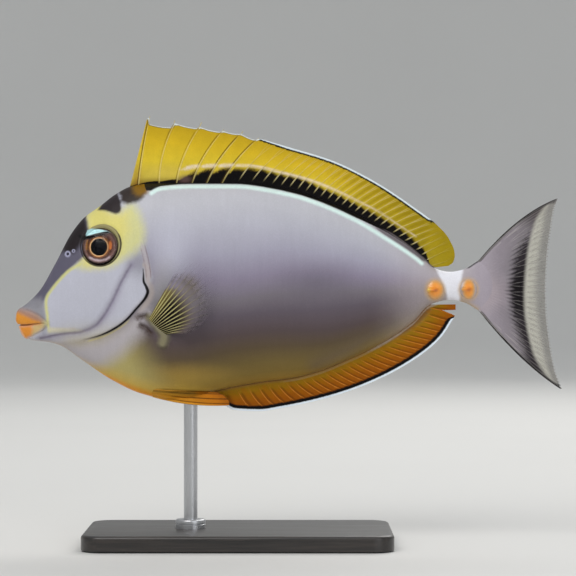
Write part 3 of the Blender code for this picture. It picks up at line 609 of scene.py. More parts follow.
def skin_faces():
    """Rings and turns of the skin's faces, quartered where they must be fine, with shared corners.
    Returns the faces, the u and the turn of each point, and the flat places of each face's corners."""
    near_tip = BODY_END * np.sin(math.pi / 2 * np.linspace(0.0, 1.0, 4001)) ** 2
    steps = np.max([np.hypot(np.diff(near_tip), np.diff(edge(near_tip)))
                    for edge in (back, belly, widest)], axis=0)
    length = np.concatenate([[0.0], np.cumsum(steps)])
    rings = int(round(length[-1] / RING_SPACING))
    ring_u = np.interp(np.linspace(0.0, length[-1], rings + 1), length, near_tip)
    turns = np.linspace(-math.pi, math.pi, 1441)
    turn_table = np.zeros((rings + 1, AROUND + 1))
    girth = np.zeros(rings + 1)
    for i, u in enumerate(ring_u):
        y, v = section(np.full(turns.shape, max(u, 1e-3)), turns)
        run = np.concatenate([[0.0], np.cumsum(np.hypot(np.diff(y), np.diff(v)))])
        girth[i] = run[-1]
        turn_table[i] = np.interp(np.linspace(0.0, run[-1], AROUND + 1), run, turns)

    def surface(i, k):
        """u, turn at fractional ring i and step k."""
        i0 = np.clip(np.floor(i).astype(int), 0, rings - 1)
        k0 = np.clip(np.floor(k).astype(int), 0, AROUND - 1)
        a = i - i0
        b = k - k0
        turn = ((1 - a) * ((1 - b) * turn_table[i0, k0] + b * turn_table[i0, k0 + 1])
                + a * ((1 - b) * turn_table[i0 + 1, k0] + b * turn_table[i0 + 1, k0 + 1]))
        return np.interp(i, np.arange(rings + 1), ring_u), turn

    level = np.zeros((rings, AROUND), dtype=int)
    whole_i, whole_k = np.meshgrid(np.arange(rings), np.arange(AROUND), indexing="ij")
    for di in (0.0, 0.25, 0.5, 0.75, 1.0):
        for dk in (0.0, 0.25, 0.5, 0.75, 1.0):
            u, turn = surface(whole_i + di, whole_k + dk)
            y, v = section(u, turn)
            across = np.maximum(girth[whole_i], girth[whole_i + 1]) / AROUND
            size = np.maximum(np.minimum(across, RING_SPACING), 0.6 * np.maximum(across, RING_SPACING))
            need = np.ceil(np.log2(size / wanted_size(u, y, v)) - 0.25).astype(int)
            level = np.maximum(level, np.clip(need, 0, FINEST))
    fine = 2 ** FINEST
    numbers = {}
    spots = []
    faces = []
    corners = []

    def number(i, k):
        """The number of the point at a fine place, shared round the body and at the snout."""
        key = (i, 0) if i == 0 else (i, k % (AROUND * fine))
        if key not in numbers:
            numbers[key] = len(spots)
            spots.append((i / fine, (k if i else AROUND * fine / 2) / fine))
        return numbers[key]

    for i in range(rings):
        for k in range(AROUND):
            step = fine >> level[i, k]
            beside = {"low_i": level[i - 1, k] if i else level[i, k],
                      "high_i": level[i + 1, k] if i + 1 < rings else level[i, k],
                      "low_k": level[i, k - 1], "high_k": level[i, (k + 1) % AROUND]}
            part = {side: min(step, fine >> other) for side, other in beside.items()}
            for a in range(i * fine, (i + 1) * fine, step):
                for b in range(k * fine, (k + 1) * fine, step):
                    bottom = part["low_i"] if a == i * fine else step
                    top = part["high_i"] if a + step == (i + 1) * fine else step
                    left = part["low_k"] if b == k * fine else step
                    right = part["high_k"] if b + step == (k + 1) * fine else step
                    loop = [(a, b + d) for d in range(0, step, bottom)]
                    loop += [(a + d, b + step) for d in range(0, step, right)]
                    loop += [(a + step, b + step - d) for d in range(0, step, top)]
                    loop += [(a + step - d, b) for d in range(0, step, left)]
                    if a == 0:
                        loop = [(a, b)] + [spot for spot in loop if spot[0] > 0]
                    faces.append([number(*spot) for spot in loop])
                    corners.append([(x / (rings * fine), z / (AROUND * fine)) for x, z in loop])
    last = rings * fine
    rim = sorted((key[1], index) for key, index in numbers.items() if key[0] == last)
    faces.append([index for _, index in rim])
    corners.append([(1.0, z / (AROUND * fine)) for z, _ in rim])
    spots = np.array(spots)
    return faces, surface(spots[:, 0], spots[:, 1]), corners


def store(mesh, name, values):
    """Keep one number for each point of a mesh, for the materials to read."""
    layer = mesh.attributes.new(name, "FLOAT", "POINT")
    layer.data.foreach_set("value", np.asarray(values, dtype=np.float32))


faces, (spot_u, spot_turn), corners = skin_faces()
spot_y, spot_v = section(spot_u, spot_turn)
skin_mesh = bpy.data.meshes.new("skin")
skin_mesh.from_pydata(placed(spot_u, spot_y, spot_v), [], faces)
skin_mesh.update()
normals = np.zeros(len(spot_u) * 3)
skin_mesh.vertex_normals.foreach_get("vector", normals)
normals = normals.reshape(-1, 3)
if (normals[:, 1] * spot_y).sum() < 0:
    skin_mesh.flip_normals()
    normals = -normals
shaped = placed(spot_u, spot_y, spot_v) + normals * (skin_relief(spot_u, spot_y, spot_v) * MM)[:, None]
skin_mesh.vertices.foreach_set("co", shaped.ravel())
skin_mesh.update()
skin_mesh.shade_smooth()

# The skin's markings in the side view, in mm, as areas with corners, areas with round corners,
# curved lines, broken lines and round spots. The two sides are alike.
CORNERED_AREAS = {
    "head": [*margin_path[:-6], *gill_path[24:], (12.0, -21.0), (-4.0, -22.0), (-4.0, 45.0), (40.0, 45.0),
             (46.0, 30.0)],
    "throat": [(9.0, -18.6), (24.0, -19.6), (31.4, -18.6), (38.0, -15.0), (43.0, -11.0), (47.5, -6.0),
        (50.5, -8.0), (46.5, -17.5), (39.5, -24.5), (33.0, -28.5), (27.0, -31.0), (16.0, -28.0)],
    "chest": [(20.0, -19.0), (32.0, -18.0), (42.0, -18.0), (46.0, -23.0), (50.0, -30.0), (56.0, -44.0),
        (40.0, -46.0), (18.0, -30.0)],
    "muzzle": [(-3.0, -4.0), (6.0, -3.6), (9.6, -3.6), (11.4, -6.0), (11.8, -10.0), (12.6, -14.0),
        (10.6, -16.6), (8.4, -12.0), (5.0, -9.4), (-3.0, -8.4)],
    "upper_lip": [(-4.0, -7.2), (2.0, -7.6), (5.5, -8.2), (8.5, -9.8), (10.4, -11.6), (10.6, -13.0),
        (5.7, -13.5), (1.5, -13.8), (-4.0, -13.9)],
    "lip_orange": [(-4.0, -8.6), (1.2, -9.0), (4.0, -10.2), (7.0, -11.6), (9.4, -12.2), (9.4, -13.0),
        (5.7, -13.5), (1.5, -13.8), (-4.0, -13.9)],
    "lower_lip": [(-4.0, -13.9), (1.5, -13.8), (6.4, -13.4), (6.9, -15.4), (6.2, -17.6), (3.0, -19.6),
        (-4.0, -19.6)],
    "lip_gold": [(4.0, -9.2), (8.2, -10.4), (11.0, -12.6), (10.8, -14.4), (9.0, -16.0), (6.4, -17.6),
        (5.4, -17.2), (6.6, -13.5), (4.0, -13.5)],
    "cheek_foot": [(12.6, -14.4), (18.0, -14.9), (24.0, -15.2), (26.0, -16.2), (18.0, -16.7),
        (12.4, -16.6)],
    "white_band": [(153.4, 9.0), (154.8, 5.6), (156.8, 1.4), (158.2, -2.6), (158.6, -7.0),
        (163.0, -7.0), (162.9, -3.0), (163.3, 2.0), (164.6, 9.0)],
    # A painted highlight: the blue-white band of reflected light along the top of the eye, on the iris and the
    # skin's rim.
    "eye_glint_band": [(26.5, 19.0), (26.7, 21.2), (28.2, 21.5), (30.4, 21.5), (32.4, 21.2), (34.2, 20.7),
        (35.2, 20.1), (33.3, 20.3), (30.2, 19.9), (28.0, 19.3)],
    "yellow_core": [(26.0, 27.0), (30.3, 31.0), (36.0, 28.0), (41.5, 27.0), (42.0, 21.0), (39.0, 13.0),
        (35.0, 9.0), (27.0, 8.0), (25.0, 10.0), (27.0, 18.0)],
}
ROUNDED_AREAS = {
    "yellow_patch": [(25.5, 27.0), (30.3, 32.0), (35.0, 27.6), (38.5, 27.6), (41.0, 30.6), (43.8, 31.2),
        (46.0, 28.6), (48.4, 22.0), (48.0, 16.4), (45.2, 12.8), (40.5, 9.8), (35.0, 7.0), (25.5, 6.6),
        (22.6, 8.0), (25.6, 12.0), (26.0, 17.6), (26.6, 21.5)],
    "dark_face": [(25.6, 27.5), (26.9, 22.4), (27.6, 18.0), (26.4, 12.4), (23.4, 9.4), (16.8, 3.2),
        (12.6, -1.8), (10.6, -5.5), (8.6, -7.4), (4.0, -7.0), (-3.0, -4.0), (-3.0, 20.0), (14.0, 27.0)],
    "dark_brow": [(25.4, 27.5), (26.9, 22.4), (27.6, 18.0), (24.6, 15.6), (21.8, 12.6), (17.8, 13.0),
        (12.0, 13.0), (14.0, 27.0)],
    "nape": [(30.2, 28.4), (32.6, 33.0), (36.2, 37.0), (38.6, 33.0), (39.4, 29.6), (38.8, 27.3),
        (37.0, 26.9), (33.6, 28.0)],
    "brown_patch": [(35.6, 37.0), (41.0, 42.0), (48.0, 41.0), (48.2, 35.6), (46.4, 32.2), (42.6, 30.8),
        (39.2, 31.4), (38.8, 33.6)],
    "gold_foot": [(43.6, 35.2), (43.2, 42.0), (50.0, 42.0), (49.6, 37.8), (48.6, 35.2), (46.8, 33.9),
        (45.0, 34.0)],
}
CURVED_LINES = {
    "yellow_line": [(24.6, 8.8), (20.4, 6.4), (16.7, 2.9), (13.7, -0.7), (12.2, -2.9), (11.7, -5.0),
        (11.9, -7.9), (12.3, -10.5), (12.3, -13.0), (12.9, -15.8)],
    "blue_line": [(50.2, 34.6), (53.3, 36.2), (60.6, 37.0), (68.0, 37.15), (82.6, 37.1), (89.9, 36.2),
        (97.2, 34.8), (104.6, 33.0), (111.9, 30.5), (119.2, 27.4), (126.5, 23.8), (133.8, 19.35),
        (141.2, 14.7), (146.7, 10.9), (149.0, 9.0)],
    "brow_line": [(24.0, 19.0), (25.4, 18.3), (27.4, 18.5), (30.0, 19.1), (33.0, 19.85), (34.4, 19.95)],
}
BROKEN_LINES = {
    "cheek_shade": [(39.0, -2.0), (35.6, -8.6), (31.6, -13.0)],
    "rear_shade": [(110.0, -28.0), (122.0, -22.5), (131.0, -17.0), (137.0, -12.5)],
    "tail_root_olive": [(162.5, -5.4), (166.0, -6.6), (169.0, -8.4)],
    # A painted highlight along the lips' front edge.
    "lip_front_highlight": [(0.2, -8.6), (-0.1, -12.6), (1.2, -13.9), (1.9, -15.4), (3.2, -17.8)],
    "cheek_line": [(13.1, -15.2), (17.0, -15.1), (22.0, -15.0)],
    "preopercle": preopercle_path,
    "foot": foot_path,
    # Painted shade along the lips' rear fold.
    "lip_fold_shade": lip_path[12:36],
}
SPOTS = {
    "belly_glow": (63.0, -33.0, 3.2, 1.0, 3.8),
    "mid_shade": (110.0, 2.0, 2.0, 1.0, 4.5),
    "shoulder": (58.0, 13.0, 1.0, 1.7, 5.0),
    "behind_gill": (54.5, -1.0, 1.0, 1.9, 4.0),
    "lip_corner": (11.5, -12.9, 1.0, 1.0, 0.9),
    "behind_eye": (46.0, 9.2, 1.2, 1.4, 3.0),
}
PLATE_CENTRES = {"front": (153.8, -0.7), "rear": (166.1, -0.5)}
GILL_STRIP = 0.8
STRIP_OVER_LINE = 1.75
TAIL_START = 143.0
HEIGHT_SHIFT = 0.035

mouth_gap, mouth_share, _ = path_distance(mouth_path, spot_u, spot_v)
over_line = np.interp(spot_u, *np.array(CURVED_LINES["blue_line"]).T) - spot_v
over_belly = spot_v - belly(spot_u)
markings = {
    # Painted shade in the slit between the lips, fading towards the corner.
    "mouth": mouth_gap + 0.35 * ramp(mouth_share, 0.6, 0.8),
    "rear_strip": np.abs(over_line + STRIP_OVER_LINE) + 3.0 * (1 - ramp(spot_u, 121.0, 137.0)),
    "above_line": over_line + 1.0 + 4.0 * (1 - ramp(spot_u, 46.6, 48.4)) + 1.6 * ramp(spot_u, 122.0, 139.0),
    # Painted shade in the folds at the breast fin's foot.
    "folds": np.minimum(*[path_distance(fold, spot_u, spot_v)[0] for fold in BREAST_FIN_FOLDS]),
    "socket": from_eye(spot_u, spot_y, spot_v, EYE_CENTRE),
    "belly_edge": over_belly + 5.0 * (1 - ramp(spot_u, 20.0, 36.0)) + 9.0 * ramp(spot_u, 60.0, 84.0)
                  + 0.5 * np.abs(spot_y) * (1 - ramp(spot_u, 26.0, 44.0)),
    "tail_base": 167.0 - spot_u,
    "tail_end": 175.0 - spot_u,
    "tail_edge": np.minimum(back(spot_u) - spot_v + 3.0 * (1 - ramp(spot_u, 163.8, 166.2)),
                            over_belly + 3.0 * (1 - ramp(spot_u, 168.5, 171.5))),
    "to_tail": TAIL_START - spot_u,
}
for name, outline in CORNERED_AREAS.items():
    markings[name] = outline_distance(outline, spot_u, spot_v)
for name, outline in ROUNDED_AREAS.items():
    markings[name] = outline_distance(smooth_path(outline, 4), spot_u, spot_v)
for name, line in CURVED_LINES.items():
    markings[name] = path_distance(smooth_path(line), spot_u, spot_v)[0]
for name, line in BROKEN_LINES.items():
    markings[name] = path_distance(line, spot_u, spot_v)[0]
for name, spot in SPOTS.items():
    markings[name] = spot_distance(spot, spot_u, spot_v)
height = over_belly / np.maximum(back(spot_u) - belly(spot_u), 0.1)
grey_higher = ramp(height, 0.3, 0.45) * (1 - ramp(height, 0.65, 0.8))
markings["height"] = (height + HEIGHT_SHIFT * ramp(spot_u, 96.0, 122.0) * (1 - ramp(height, 0.2, 0.4))
                      + HEIGHT_SHIFT * hump(spot_u - 80.0, 14.0) * grey_higher)
gap, share, side = path_distance(gill_path, spot_u, spot_v)
behind = gap * side
# Painted shadow in the gill slit, under the cover's rear edge.
markings["gill_slit_shadow"] = (np.abs(behind - 0.2) + 0.2 * (1 - ramp(share, 0.0, 0.12))
                         + 0.4 * ramp(share, 0.68, 1.0) - 0.16 * hump(share - 0.21, 0.09))
markings["gill_membrane"] = np.abs(behind - 0.95) + 1.2 * (1 - ramp(share, 0.4, 0.55)) + ramp(share, 0.9, 1.0)
markings["slit_flesh"] = np.abs(behind - 1.6) + 2.0 * ramp(share, 0.3, 0.5)
gap, share, side = path_distance(margin_path, spot_u, spot_v)
behind = gap * side
fading = 1.5 * (1 - ramp(share, 0.05, 0.25)) + 1.5 * ramp(share, 0.75, 1.0)
markings["gill_margin"] = np.minimum(np.abs(behind), np.abs(behind + 2 * GILL_STRIP)) + fading
markings["gill_strip"] = np.abs(behind + GILL_STRIP) + fading
rim = from_eye(spot_u, spot_y, spot_v, EYE_RIM)
markings["eye_rim"] = np.abs(rim - EYE_RING) + 2.0 * (1 - ramp(spot_u, 25.6, 28.4))
markings["eye_outline"] = np.abs(rim - EYE_OUTLINE) + 0.22 * ramp(spot_v, 18.0, 22.0)
markings["nostril_ring"] = np.minimum(*[np.hypot(spot_u - cu, spot_v - cv) / size
                                        for (cu, cv), size in NOSTRILS.values()])
markings["plates"] = np.minimum(*[np.hypot((spot_u - cu) / 0.9, spot_v - cv)
                                  for cu, cv in PLATE_CENTRES.values()])
for name, values in markings.items():
    store(skin_mesh, name, values)
flat_map = skin_mesh.uv_layers.new(name="OFBake")
flat_places = np.array([spot for face in corners for spot in face], dtype=np.float32)
flat_map.data.foreach_set("uv", flat_places.ravel())


def make_soft_mask():
    """Group: how far a point lies inside an edge, made ragged by noise and soft at its border."""
    group = bpy.data.node_groups.new("soft mask", "ShaderNodeTree")
    for label, value in (("Distance", 0.0), ("Edge", 0.0), ("Softness", 0.5), ("Wobble", 0.0), ("Noise", 0.5),
                         ("Opacity", 1.0)):
        group.interface.new_socket(label, in_out="INPUT", socket_type="NodeSocketFloat").default_value = value
    group.interface.new_socket("Mask", in_out="OUTPUT", socket_type="NodeSocketFloat")
    given = group.nodes.new("NodeGroupInput").outputs
    ragged = worked(group, "MULTIPLY", worked(group, "SUBTRACT", given["Noise"], 0.5), given["Wobble"])
    inside = worked(group, "SUBTRACT", worked(group, "ADD", given["Edge"], ragged), given["Distance"])
    share = worked(group, "DIVIDE", inside, given["Softness"])
    soft = add_node(group, "ShaderNodeMapRange", {0: share, 1: -1.0, 2: 1.0},
                    interpolation_type="SMOOTHSTEP").outputs[0]
    result = group.nodes.new("NodeGroupOutput")
    group.links.new(worked(group, "MULTIPLY", soft, given["Opacity"]), result.inputs[0])
    return group


SCALE_SHAPE = (1.0, 1.0, 0.72)


def make_velvet():
    """Group: minute scales as height, and the faint upright streaks and mottling that they show."""
    group = bpy.data.node_groups.new("velvet scales", "ShaderNodeTree")
    for label, value in (("Scale Size", 0.45), ("Streaks", 1.0)):
        group.interface.new_socket(label, in_out="INPUT", socket_type="NodeSocketFloat").default_value = value
    for label in ("Height", "Tone"):
        group.interface.new_socket(label, in_out="OUTPUT", socket_type="NodeSocketFloat")
    given = group.nodes.new("NodeGroupInput").outputs
    place_of = add_node(group, "ShaderNodeTexCoord").outputs["Object"]
    across = add_node(group, "ShaderNodeMapping", {"Vector": place_of, "Scale": SCALE_SHAPE}).outputs[0]
    size = worked(group, "DIVIDE", 1000.0, given["Scale Size"])
    cells = add_node(group, "ShaderNodeTexVoronoi", {"Vector": across, "Scale": size}).outputs["Distance"]
    grain = object_noise(group, 5200.0)
    streak = object_noise(group, 620.0, 2.0, (1.0, 0.4, 0.07))
    cloud = object_noise(group, 70.0, 3.0)
    result = group.nodes.new("NodeGroupOutput")
    raised = worked(group, "ADD", worked(group, "MULTIPLY", grain, 0.5), worked(group, "SUBTRACT", 1.0, cells))
    group.links.new(raised, result.inputs["Height"])
    tone = 0.5
    for pattern, strength in ((streak, given["Streaks"]), (cloud, 0.6), (cells, 0.35)):
        swing = worked(group, "MULTIPLY", worked(group, "SUBTRACT", pattern, 0.5), strength)
        tone = worked(group, "ADD", swing, tone)
    group.links.new(tone, result.inputs["Tone"])
    return group


soft_mask = make_soft_mask()
velvet = make_velvet()


def stored(tree, name):
    """The number kept under a name for each point."""
    return add_node(tree, "ShaderNodeAttribute", attribute_name=name).outputs["Fac"]


def painted(tree, colour, layers, noise):
    """Paint layers over a colour, each (name, edge, softness, wobble, colour, opacity) in mm."""
    for name, edge, softness, wobble, shade, opacity in layers:
        mask = add_node(tree, "ShaderNodeGroup", node_tree=soft_mask)
        settings = {"Edge": edge, "Softness": softness, "Wobble": wobble, "Opacity": opacity}
        for socket, value in settings.items():
            mask.inputs[socket].default_value = value
        tree.links.new(stored(tree, name), mask.inputs["Distance"])
        tree.links.new(noise, mask.inputs["Noise"])
        colour = mixed(tree, mask.outputs[0], colour, srgb(*shade))
    return colour


def colour_ramp(tree, value, stops):
    """A run of colours along a value, from (place, colour) stops."""
    node = add_node(tree, "ShaderNodeValToRGB", {"Fac": value})
    elements = node.color_ramp.elements
    while len(elements) < len(stops):
        elements.new(1.0)
    for element, (place_of, shade) in zip(elements, stops):
        element.position = place_of
        element.color = srgb(*shade)
    return node.outputs["Color"]


def toned(tree, colour, tone, least, most):
    """A colour made darker and lighter by a value from 0 to 1."""
    factor = add_node(tree, "ShaderNodeMapRange", {0: tone, 3: least, 4: most}).outputs[0]
    return add_node(tree, "ShaderNodeVectorMath", {0: colour, 3: factor}, operation="SCALE").outputs[0]


SHEEN = 0.22
FIN_SHEEN = 0.1
# The flank's colours from belly to back: partly the fish's own colouring and partly painted light, lighter
# towards the lit back and darkest on the lower flank.
FLANK = [(0.0, (169, 134, 62)), (0.05, (136, 113, 58)), (0.11, (115, 97, 54)), (0.18, (93, 78, 57)),
         (0.26, (86, 73, 74)), (0.36, (97, 88, 98)), (0.455, (119, 112, 121)), (0.56, (141, 133, 153)),
         (0.68, (165, 162, 180)), (0.80, (183, 183, 195)), (0.90, (192, 192, 200)), (1.0, (196, 196, 203))]
SKIN_LAYERS = [
    ("to_tail", 0.0, 15.0, 1.0, (178, 168, 172), 0.85),
    ("mid_shade", 0.0, 7.0, 0.8, (104, 97, 111), 0.6),
    ("rear_shade", 1.0, 5.0, 0.8, (98, 86, 90), 0.5),
    ("shoulder", 0.0, 7.0, 0.8, (200, 201, 216), 0.7),
    ("behind_gill", 0.0, 5.0, 0.8, (166, 164, 166), 0.7),
    ("belly_glow", 0.0, 4.2, 1.0, (178, 146, 66), 0.7),
    ("head", 0.0, 1.2, 0.6, (190, 191, 204), 1.0),
    ("behind_eye", 0.0, 3.0, 1.0, (142, 139, 152), 0.8),
    ("cheek_shade", 1.2, 2.4, 0.8, (166, 160, 178), 0.4),
    ("chest", 0.0, 9.0, 1.0, (188, 175, 112), 0.88),
    ("throat", 0.0, 4.0, 1.0, (182, 176, 180), 1.0),
    ("belly_edge", 4.2, 3.8, 0.8, (222, 180, 70), 0.8),
    ("belly_edge", 1.6, 1.4, 0.6, (240, 154, 6), 1.0),
    ("tail_base", 0.0, 4.0, 0.0, (170, 161, 172), 0.9),
    ("tail_end", 0.0, 4.0, 0.0, (150, 142, 152), 0.9),
    ("tail_root_olive", 1.0, 1.5, 0.4, (204, 174, 120), 0.8),
    ("tail_edge", 0.55, 0.4, 0.2, (18, 14, 16), 0.9),
    ("yellow_patch", -0.6, 2.6, 1.6, (212, 210, 150), 1.0),
    ("yellow_core", 0.0, 3.2, 1.6, (226, 215, 122), 0.9),
    ("dark_face", 0.0, 0.8, 0.7, (96, 93, 110), 1.0),
    ("dark_brow", -0.2, 1.3, 1.0, (34, 27, 30), 1.0),
    ("muzzle", 0.0, 1.6, 0.8, (142, 141, 148), 0.9),
    ("yellow_line", 0.5, 0.55, 0.35, (214, 212, 138), 0.9),
    ("cheek_line", 0.5, 0.7, 0.4, (196, 188, 180), 0.7),
    ("cheek_foot", 0.0, 0.9, 0.4, (214, 208, 178), 0.8),
    ("nape", -0.2, 0.6, 0.7, (42, 34, 36), 1.0),
    ("brown_patch", 0.0, 1.0, 1.0, (34, 18, 0), 0.97),
    ("gold_foot", 0.2, 1.5, 1.2, (136, 98, 4), 0.92),
    ("above_line", 0.0, 0.25, 0.4, (10, 7, 8), 1.0),
    ("rear_strip", 0.9, 0.5, 0.3, (112, 104, 110), 0.9),
    ("blue_line", 0.68, 0.6, 0.3, (224, 248, 244), 1.0),
    ("slit_flesh", 1.0, 0.9, 0.5, (178, 166, 160), 0.65),
    ("gill_strip", 0.7, 0.7, 0.4, (184, 172, 174), 0.6),
    ("gill_margin", 0.14, 0.3, 0.3, (138, 116, 118), 0.7),
    ("gill_membrane", 0.28, 0.3, 0.2, (196, 184, 130), 0.7),
    # Painted shade along the cheek's groove: broad in the hollow beside it and narrow in the groove itself.
    ("preopercle", 1.1, 1.5, 0.6, (134, 126, 148), 0.6),
    ("preopercle", 0.3, 0.6, 0.4, (100, 88, 108), 0.65),
    # Painted shadow in the gill slit under the cover's edge.
    ("gill_slit_shadow", 0.34, 0.22, 0.2, (16, 12, 14), 1.0),
    # Painted shade in the folds at the breast fin's foot.
    ("folds", 1.0, 1.3, 2.2, (62, 44, 36), 0.9),
    ("foot", 1.6, 1.4, 1.2, (144, 138, 106), 0.8),
    ("nostril_ring", 1.15, 0.45, 0.1, (186, 186, 214), 0.85),
    # Painted shade in the pit of each nostril.
    ("nostril_ring", 0.55, 0.25, 0.05, (44, 40, 54), 1.0),
    ("eye_rim", 0.85, 0.25, 0.2, (142, 134, 100), 0.85),
    ("eye_outline", 0.24, 0.2, 0.1, (34, 28, 22), 0.92),
    ("socket", 6.85, 0.15, 0.0, (10, 8, 8), 1.0),
    # Painted highlight along the top of the eye.
    ("eye_glint_band", 0.0, 0.25, 0.2, (180, 220, 224), 1.0),
    ("brow_line", 0.58, 0.2, 0.1, (8, 8, 10), 1.0),
    # Painted shade along the lips' rear fold.
    ("lip_fold_shade", 0.1, 0.8, 0.3, (118, 108, 104), 0.45),
    ("lip_gold", 0.0, 1.0, 0.4, (210, 178, 112), 0.9),
    ("upper_lip", 0.0, 1.3, 0.5, (168, 130, 112), 1.0),
    ("lip_orange", 0.0, 1.0, 0.5, (222, 146, 52), 1.0),
    ("lower_lip", -0.2, 1.0, 0.4, (232, 148, 56), 1.0),
    ("lip_corner", 0.0, 1.2, 0.4, (194, 186, 130), 0.75),
    # Painted highlight on the lips' front edge.
    ("lip_front_highlight", 0.25, 0.5, 0.2, (232, 200, 176), 0.75),
    # Painted shade in the slit between the lips.
    ("mouth", 0.1, 0.26, 0.1, (96, 56, 18), 0.95),
    ("white_band", 0.0, 0.7, 0.3, (238, 238, 246), 1.0),
    ("plates", 4.1, 1.2, 0.4, (206, 172, 124), 0.8),
]

skin_finish, tree, shader = new_finish("skin", 0.42, Specular_IOR_Level=SHEEN)
scales = add_node(tree, "ShaderNodeGroup", {"Streaks": 0.35}, node_tree=velvet)
ragged = object_noise(tree, 800.0, 3.0)
flank = colour_ramp(tree, stored(tree, "height"), FLANK)
skin_colour = painted(tree, flank, SKIN_LAYERS, ragged)
tree.links.new(toned(tree, skin_colour, scales.outputs["Tone"], 0.88, 1.1), shader.inputs["Base Color"])
varied(tree, shader, "Roughness", scales.outputs["Tone"], 0.5, 0.38)
embossed(tree, shader, scales.outputs["Height"], 0.35, 0.0001)
skin = add_object("skin", skin_mesh, skin_finish)
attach(skin, "root")
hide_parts("head", "upper_lip", "lower_lip", "gill_cover_left", "gill_cover_right", "trunk", "tail_stalk")


# The eyes: a painted iris dish round a deep black pupil, set in the socket, under a
# thin clear dome of glass.
PUPIL_PLACE = (-0.95, -0.1)
PUPIL_RADIUS = 3.05
CORNEA_RADIUS = 6.7
CORNEA_RISE = 1.45
CORNEA_WALL = 0.3
CORNEA_FOOT = -0.25
IRIS_BACK = -4.0
IRIS_PROFILE = [(0.0, 0.35), (0.6, 0.32), (1.2, 0.22), (1.8, 0.05), (2.4, -0.2), (2.8, -0.5), (3.0, -0.8),
                (3.1, -0.45), (3.3, -0.28), (3.7, -0.22), (4.3, -0.16), (5.0, -0.08), (5.7, 0.0), (6.2, 0.02),
                (6.55, -0.12), (6.85, -0.5), (6.95, -1.1), (6.9, -2.0), (6.3, -3.2), (4.0, IRIS_BACK),
                (0.0, IRIS_BACK)]
IRIS_FRONT = 17
IRIS_STEP = 0.14
IRIS_TURNS = 192
CORNEA_TURNS = 72
CORNEA_STEPS = 14
CORNEA_CURVE = 0.8
IRIS_STOPS = [(0.0, (3, 4, 12)), (0.43, (4, 5, 14)), (0.447, (24, 14, 10)), (0.462, (176, 136, 86)),
              (0.485, (214, 180, 138)), (0.505, (170, 118, 70)), (0.53, (84, 52, 32)), (0.56, (120, 76, 42)),
              (0.60, (62, 38, 30)), (0.67, (64, 42, 38)), (0.74, (96, 66, 60)), (0.80, (104, 82, 78)),
              (0.86, (66, 46, 44)), (0.93, (84, 70, 64)), (0.97, (50, 42, 38)), (1.0, (40, 34, 28))]
SILVER_CRESCENT = [(-3.8, -3.9), (-2.2, -4.7), (0.0, -5.1), (2.2, -4.7), (3.4, -3.9)]


def finely(profile, step):
    """A profile with points added, so that no two in a row are further apart than a step."""
    rows = [profile[0]]
    for (r0, h0), (r1, h1) in zip(profile, profile[1:]):
        count = math.ceil(math.hypot(r1 - r0, h1 - h0) / step)
        rows += [(r0 + (r1 - r0) * k / count, h0 + (h1 - h0) * k / count) for k in range(1, count + 1)]
    return rows


def eye_mesh(name, rows, steps, matrix):
    """A shape turned about the eye's own axis, with (radius, height) points in mm."""
    bm = bmesh.new()
    rings = []
    for radius, height in rows:
        if radius == 0.0:
            rings.append([bm.verts.new((0.0, 0.0, height * MM))])
        else:
            rings.append([bm.verts.new((radius * MM * math.cos(2 * math.pi * k / steps),
                                        radius * MM * math.sin(2 * math.pi * k / steps), height * MM))
                          for k in range(steps)])
    for inner, outer in zip(rings, rings[1:]):
        for k in range(steps):
            after = (k + 1) % steps
            loop = [inner[k % len(inner)], outer[k % len(outer)], outer[after % len(outer)],
                    inner[after % len(inner)]]
            bm.faces.new(list(dict.fromkeys(loop)))
    bmesh.ops.recalc_face_normals(bm, faces=bm.faces)
    local = np.array([tuple(vert.co) for vert in bm.verts]) / MM
    bm.transform(matrix)
    mesh = bpy.data.meshes.new(name)
    bm.to_mesh(mesh)
    bm.free()
    if matrix.determinant() < 0:
        mesh.flip_normals()
    mesh.shade_smooth()
    return mesh, local


iris_finish, tree, shader = new_finish("iris", 0.35, Specular_IOR_Level=0.06)
radial = stored(tree, "iris_radius")
streaks = add_node(tree, "ShaderNodeTexNoise",
                   {"Vector": add_node(tree, "ShaderNodeCombineXYZ",
                                       {0: stored(tree, "iris_across"), 1: stored(tree, "iris_up"),
                                        2: worked(tree, "MULTIPLY", radial, 1.2)}).outputs[0],
                    "Scale": 3.0, "Detail": 4.0}).outputs["Fac"]
wavy = worked(tree, "ADD", radial, worked(tree, "MULTIPLY", worked(tree, "SUBTRACT", streaks, 0.5), 0.06))
iris_colour = colour_ramp(tree, wavy, IRIS_STOPS)
iris_colour = painted(tree, iris_colour, [
    ("left_gold", 0.22, 0.5, 0.6, (154, 106, 40), 0.85),
    ("right_glow", 0.0, 0.6, 1.2, (184, 106, 54), 0.8),
    ("silver_crescent", 0.3, 0.45, 0.5, (170, 158, 166), 0.8),
    ("outer_ring", 0.0, 0.3, 0.2, (9, 7, 8), 1.0),
    ("olive_rim", 0.0, 0.3, 0.2, (128, 120, 88), 0.8),
    # Painted highlight along the top of the eye.
    ("eye_glint_band", 0.0, 0.25, 0.2, (180, 220, 224), 1.0),
    ("brow_line", 0.58, 0.2, 0.1, (8, 8, 10), 1.0),
    ("pupil", 0.05, 0.08, 0.0, (3, 4, 9), 1.0)], streaks)
tree.links.new(toned(tree, iris_colour, streaks, 0.6, 1.45), shader.inputs["Base Color"])
metal_ring = add_node(tree, "ShaderNodeMapRange", {0: radial, 1: 0.43, 2: 0.5, 3: 0.0, 4: 0.15}).outputs[0]
tree.links.new(metal_ring, shader.inputs["Metallic"])
embossed(tree, shader, streaks, 0.3, 0.0002)
glass, tree, shader = new_finish("eye glass", 0.01, IOR=1.16, Transmission_Weight=1.0)
shader.inputs["Base Color"].default_value = (1.0, 1.0, 1.0, 1.0)
varied(tree, shader, "Roughness", object_noise(tree, 900.0), 0.0, 0.03)

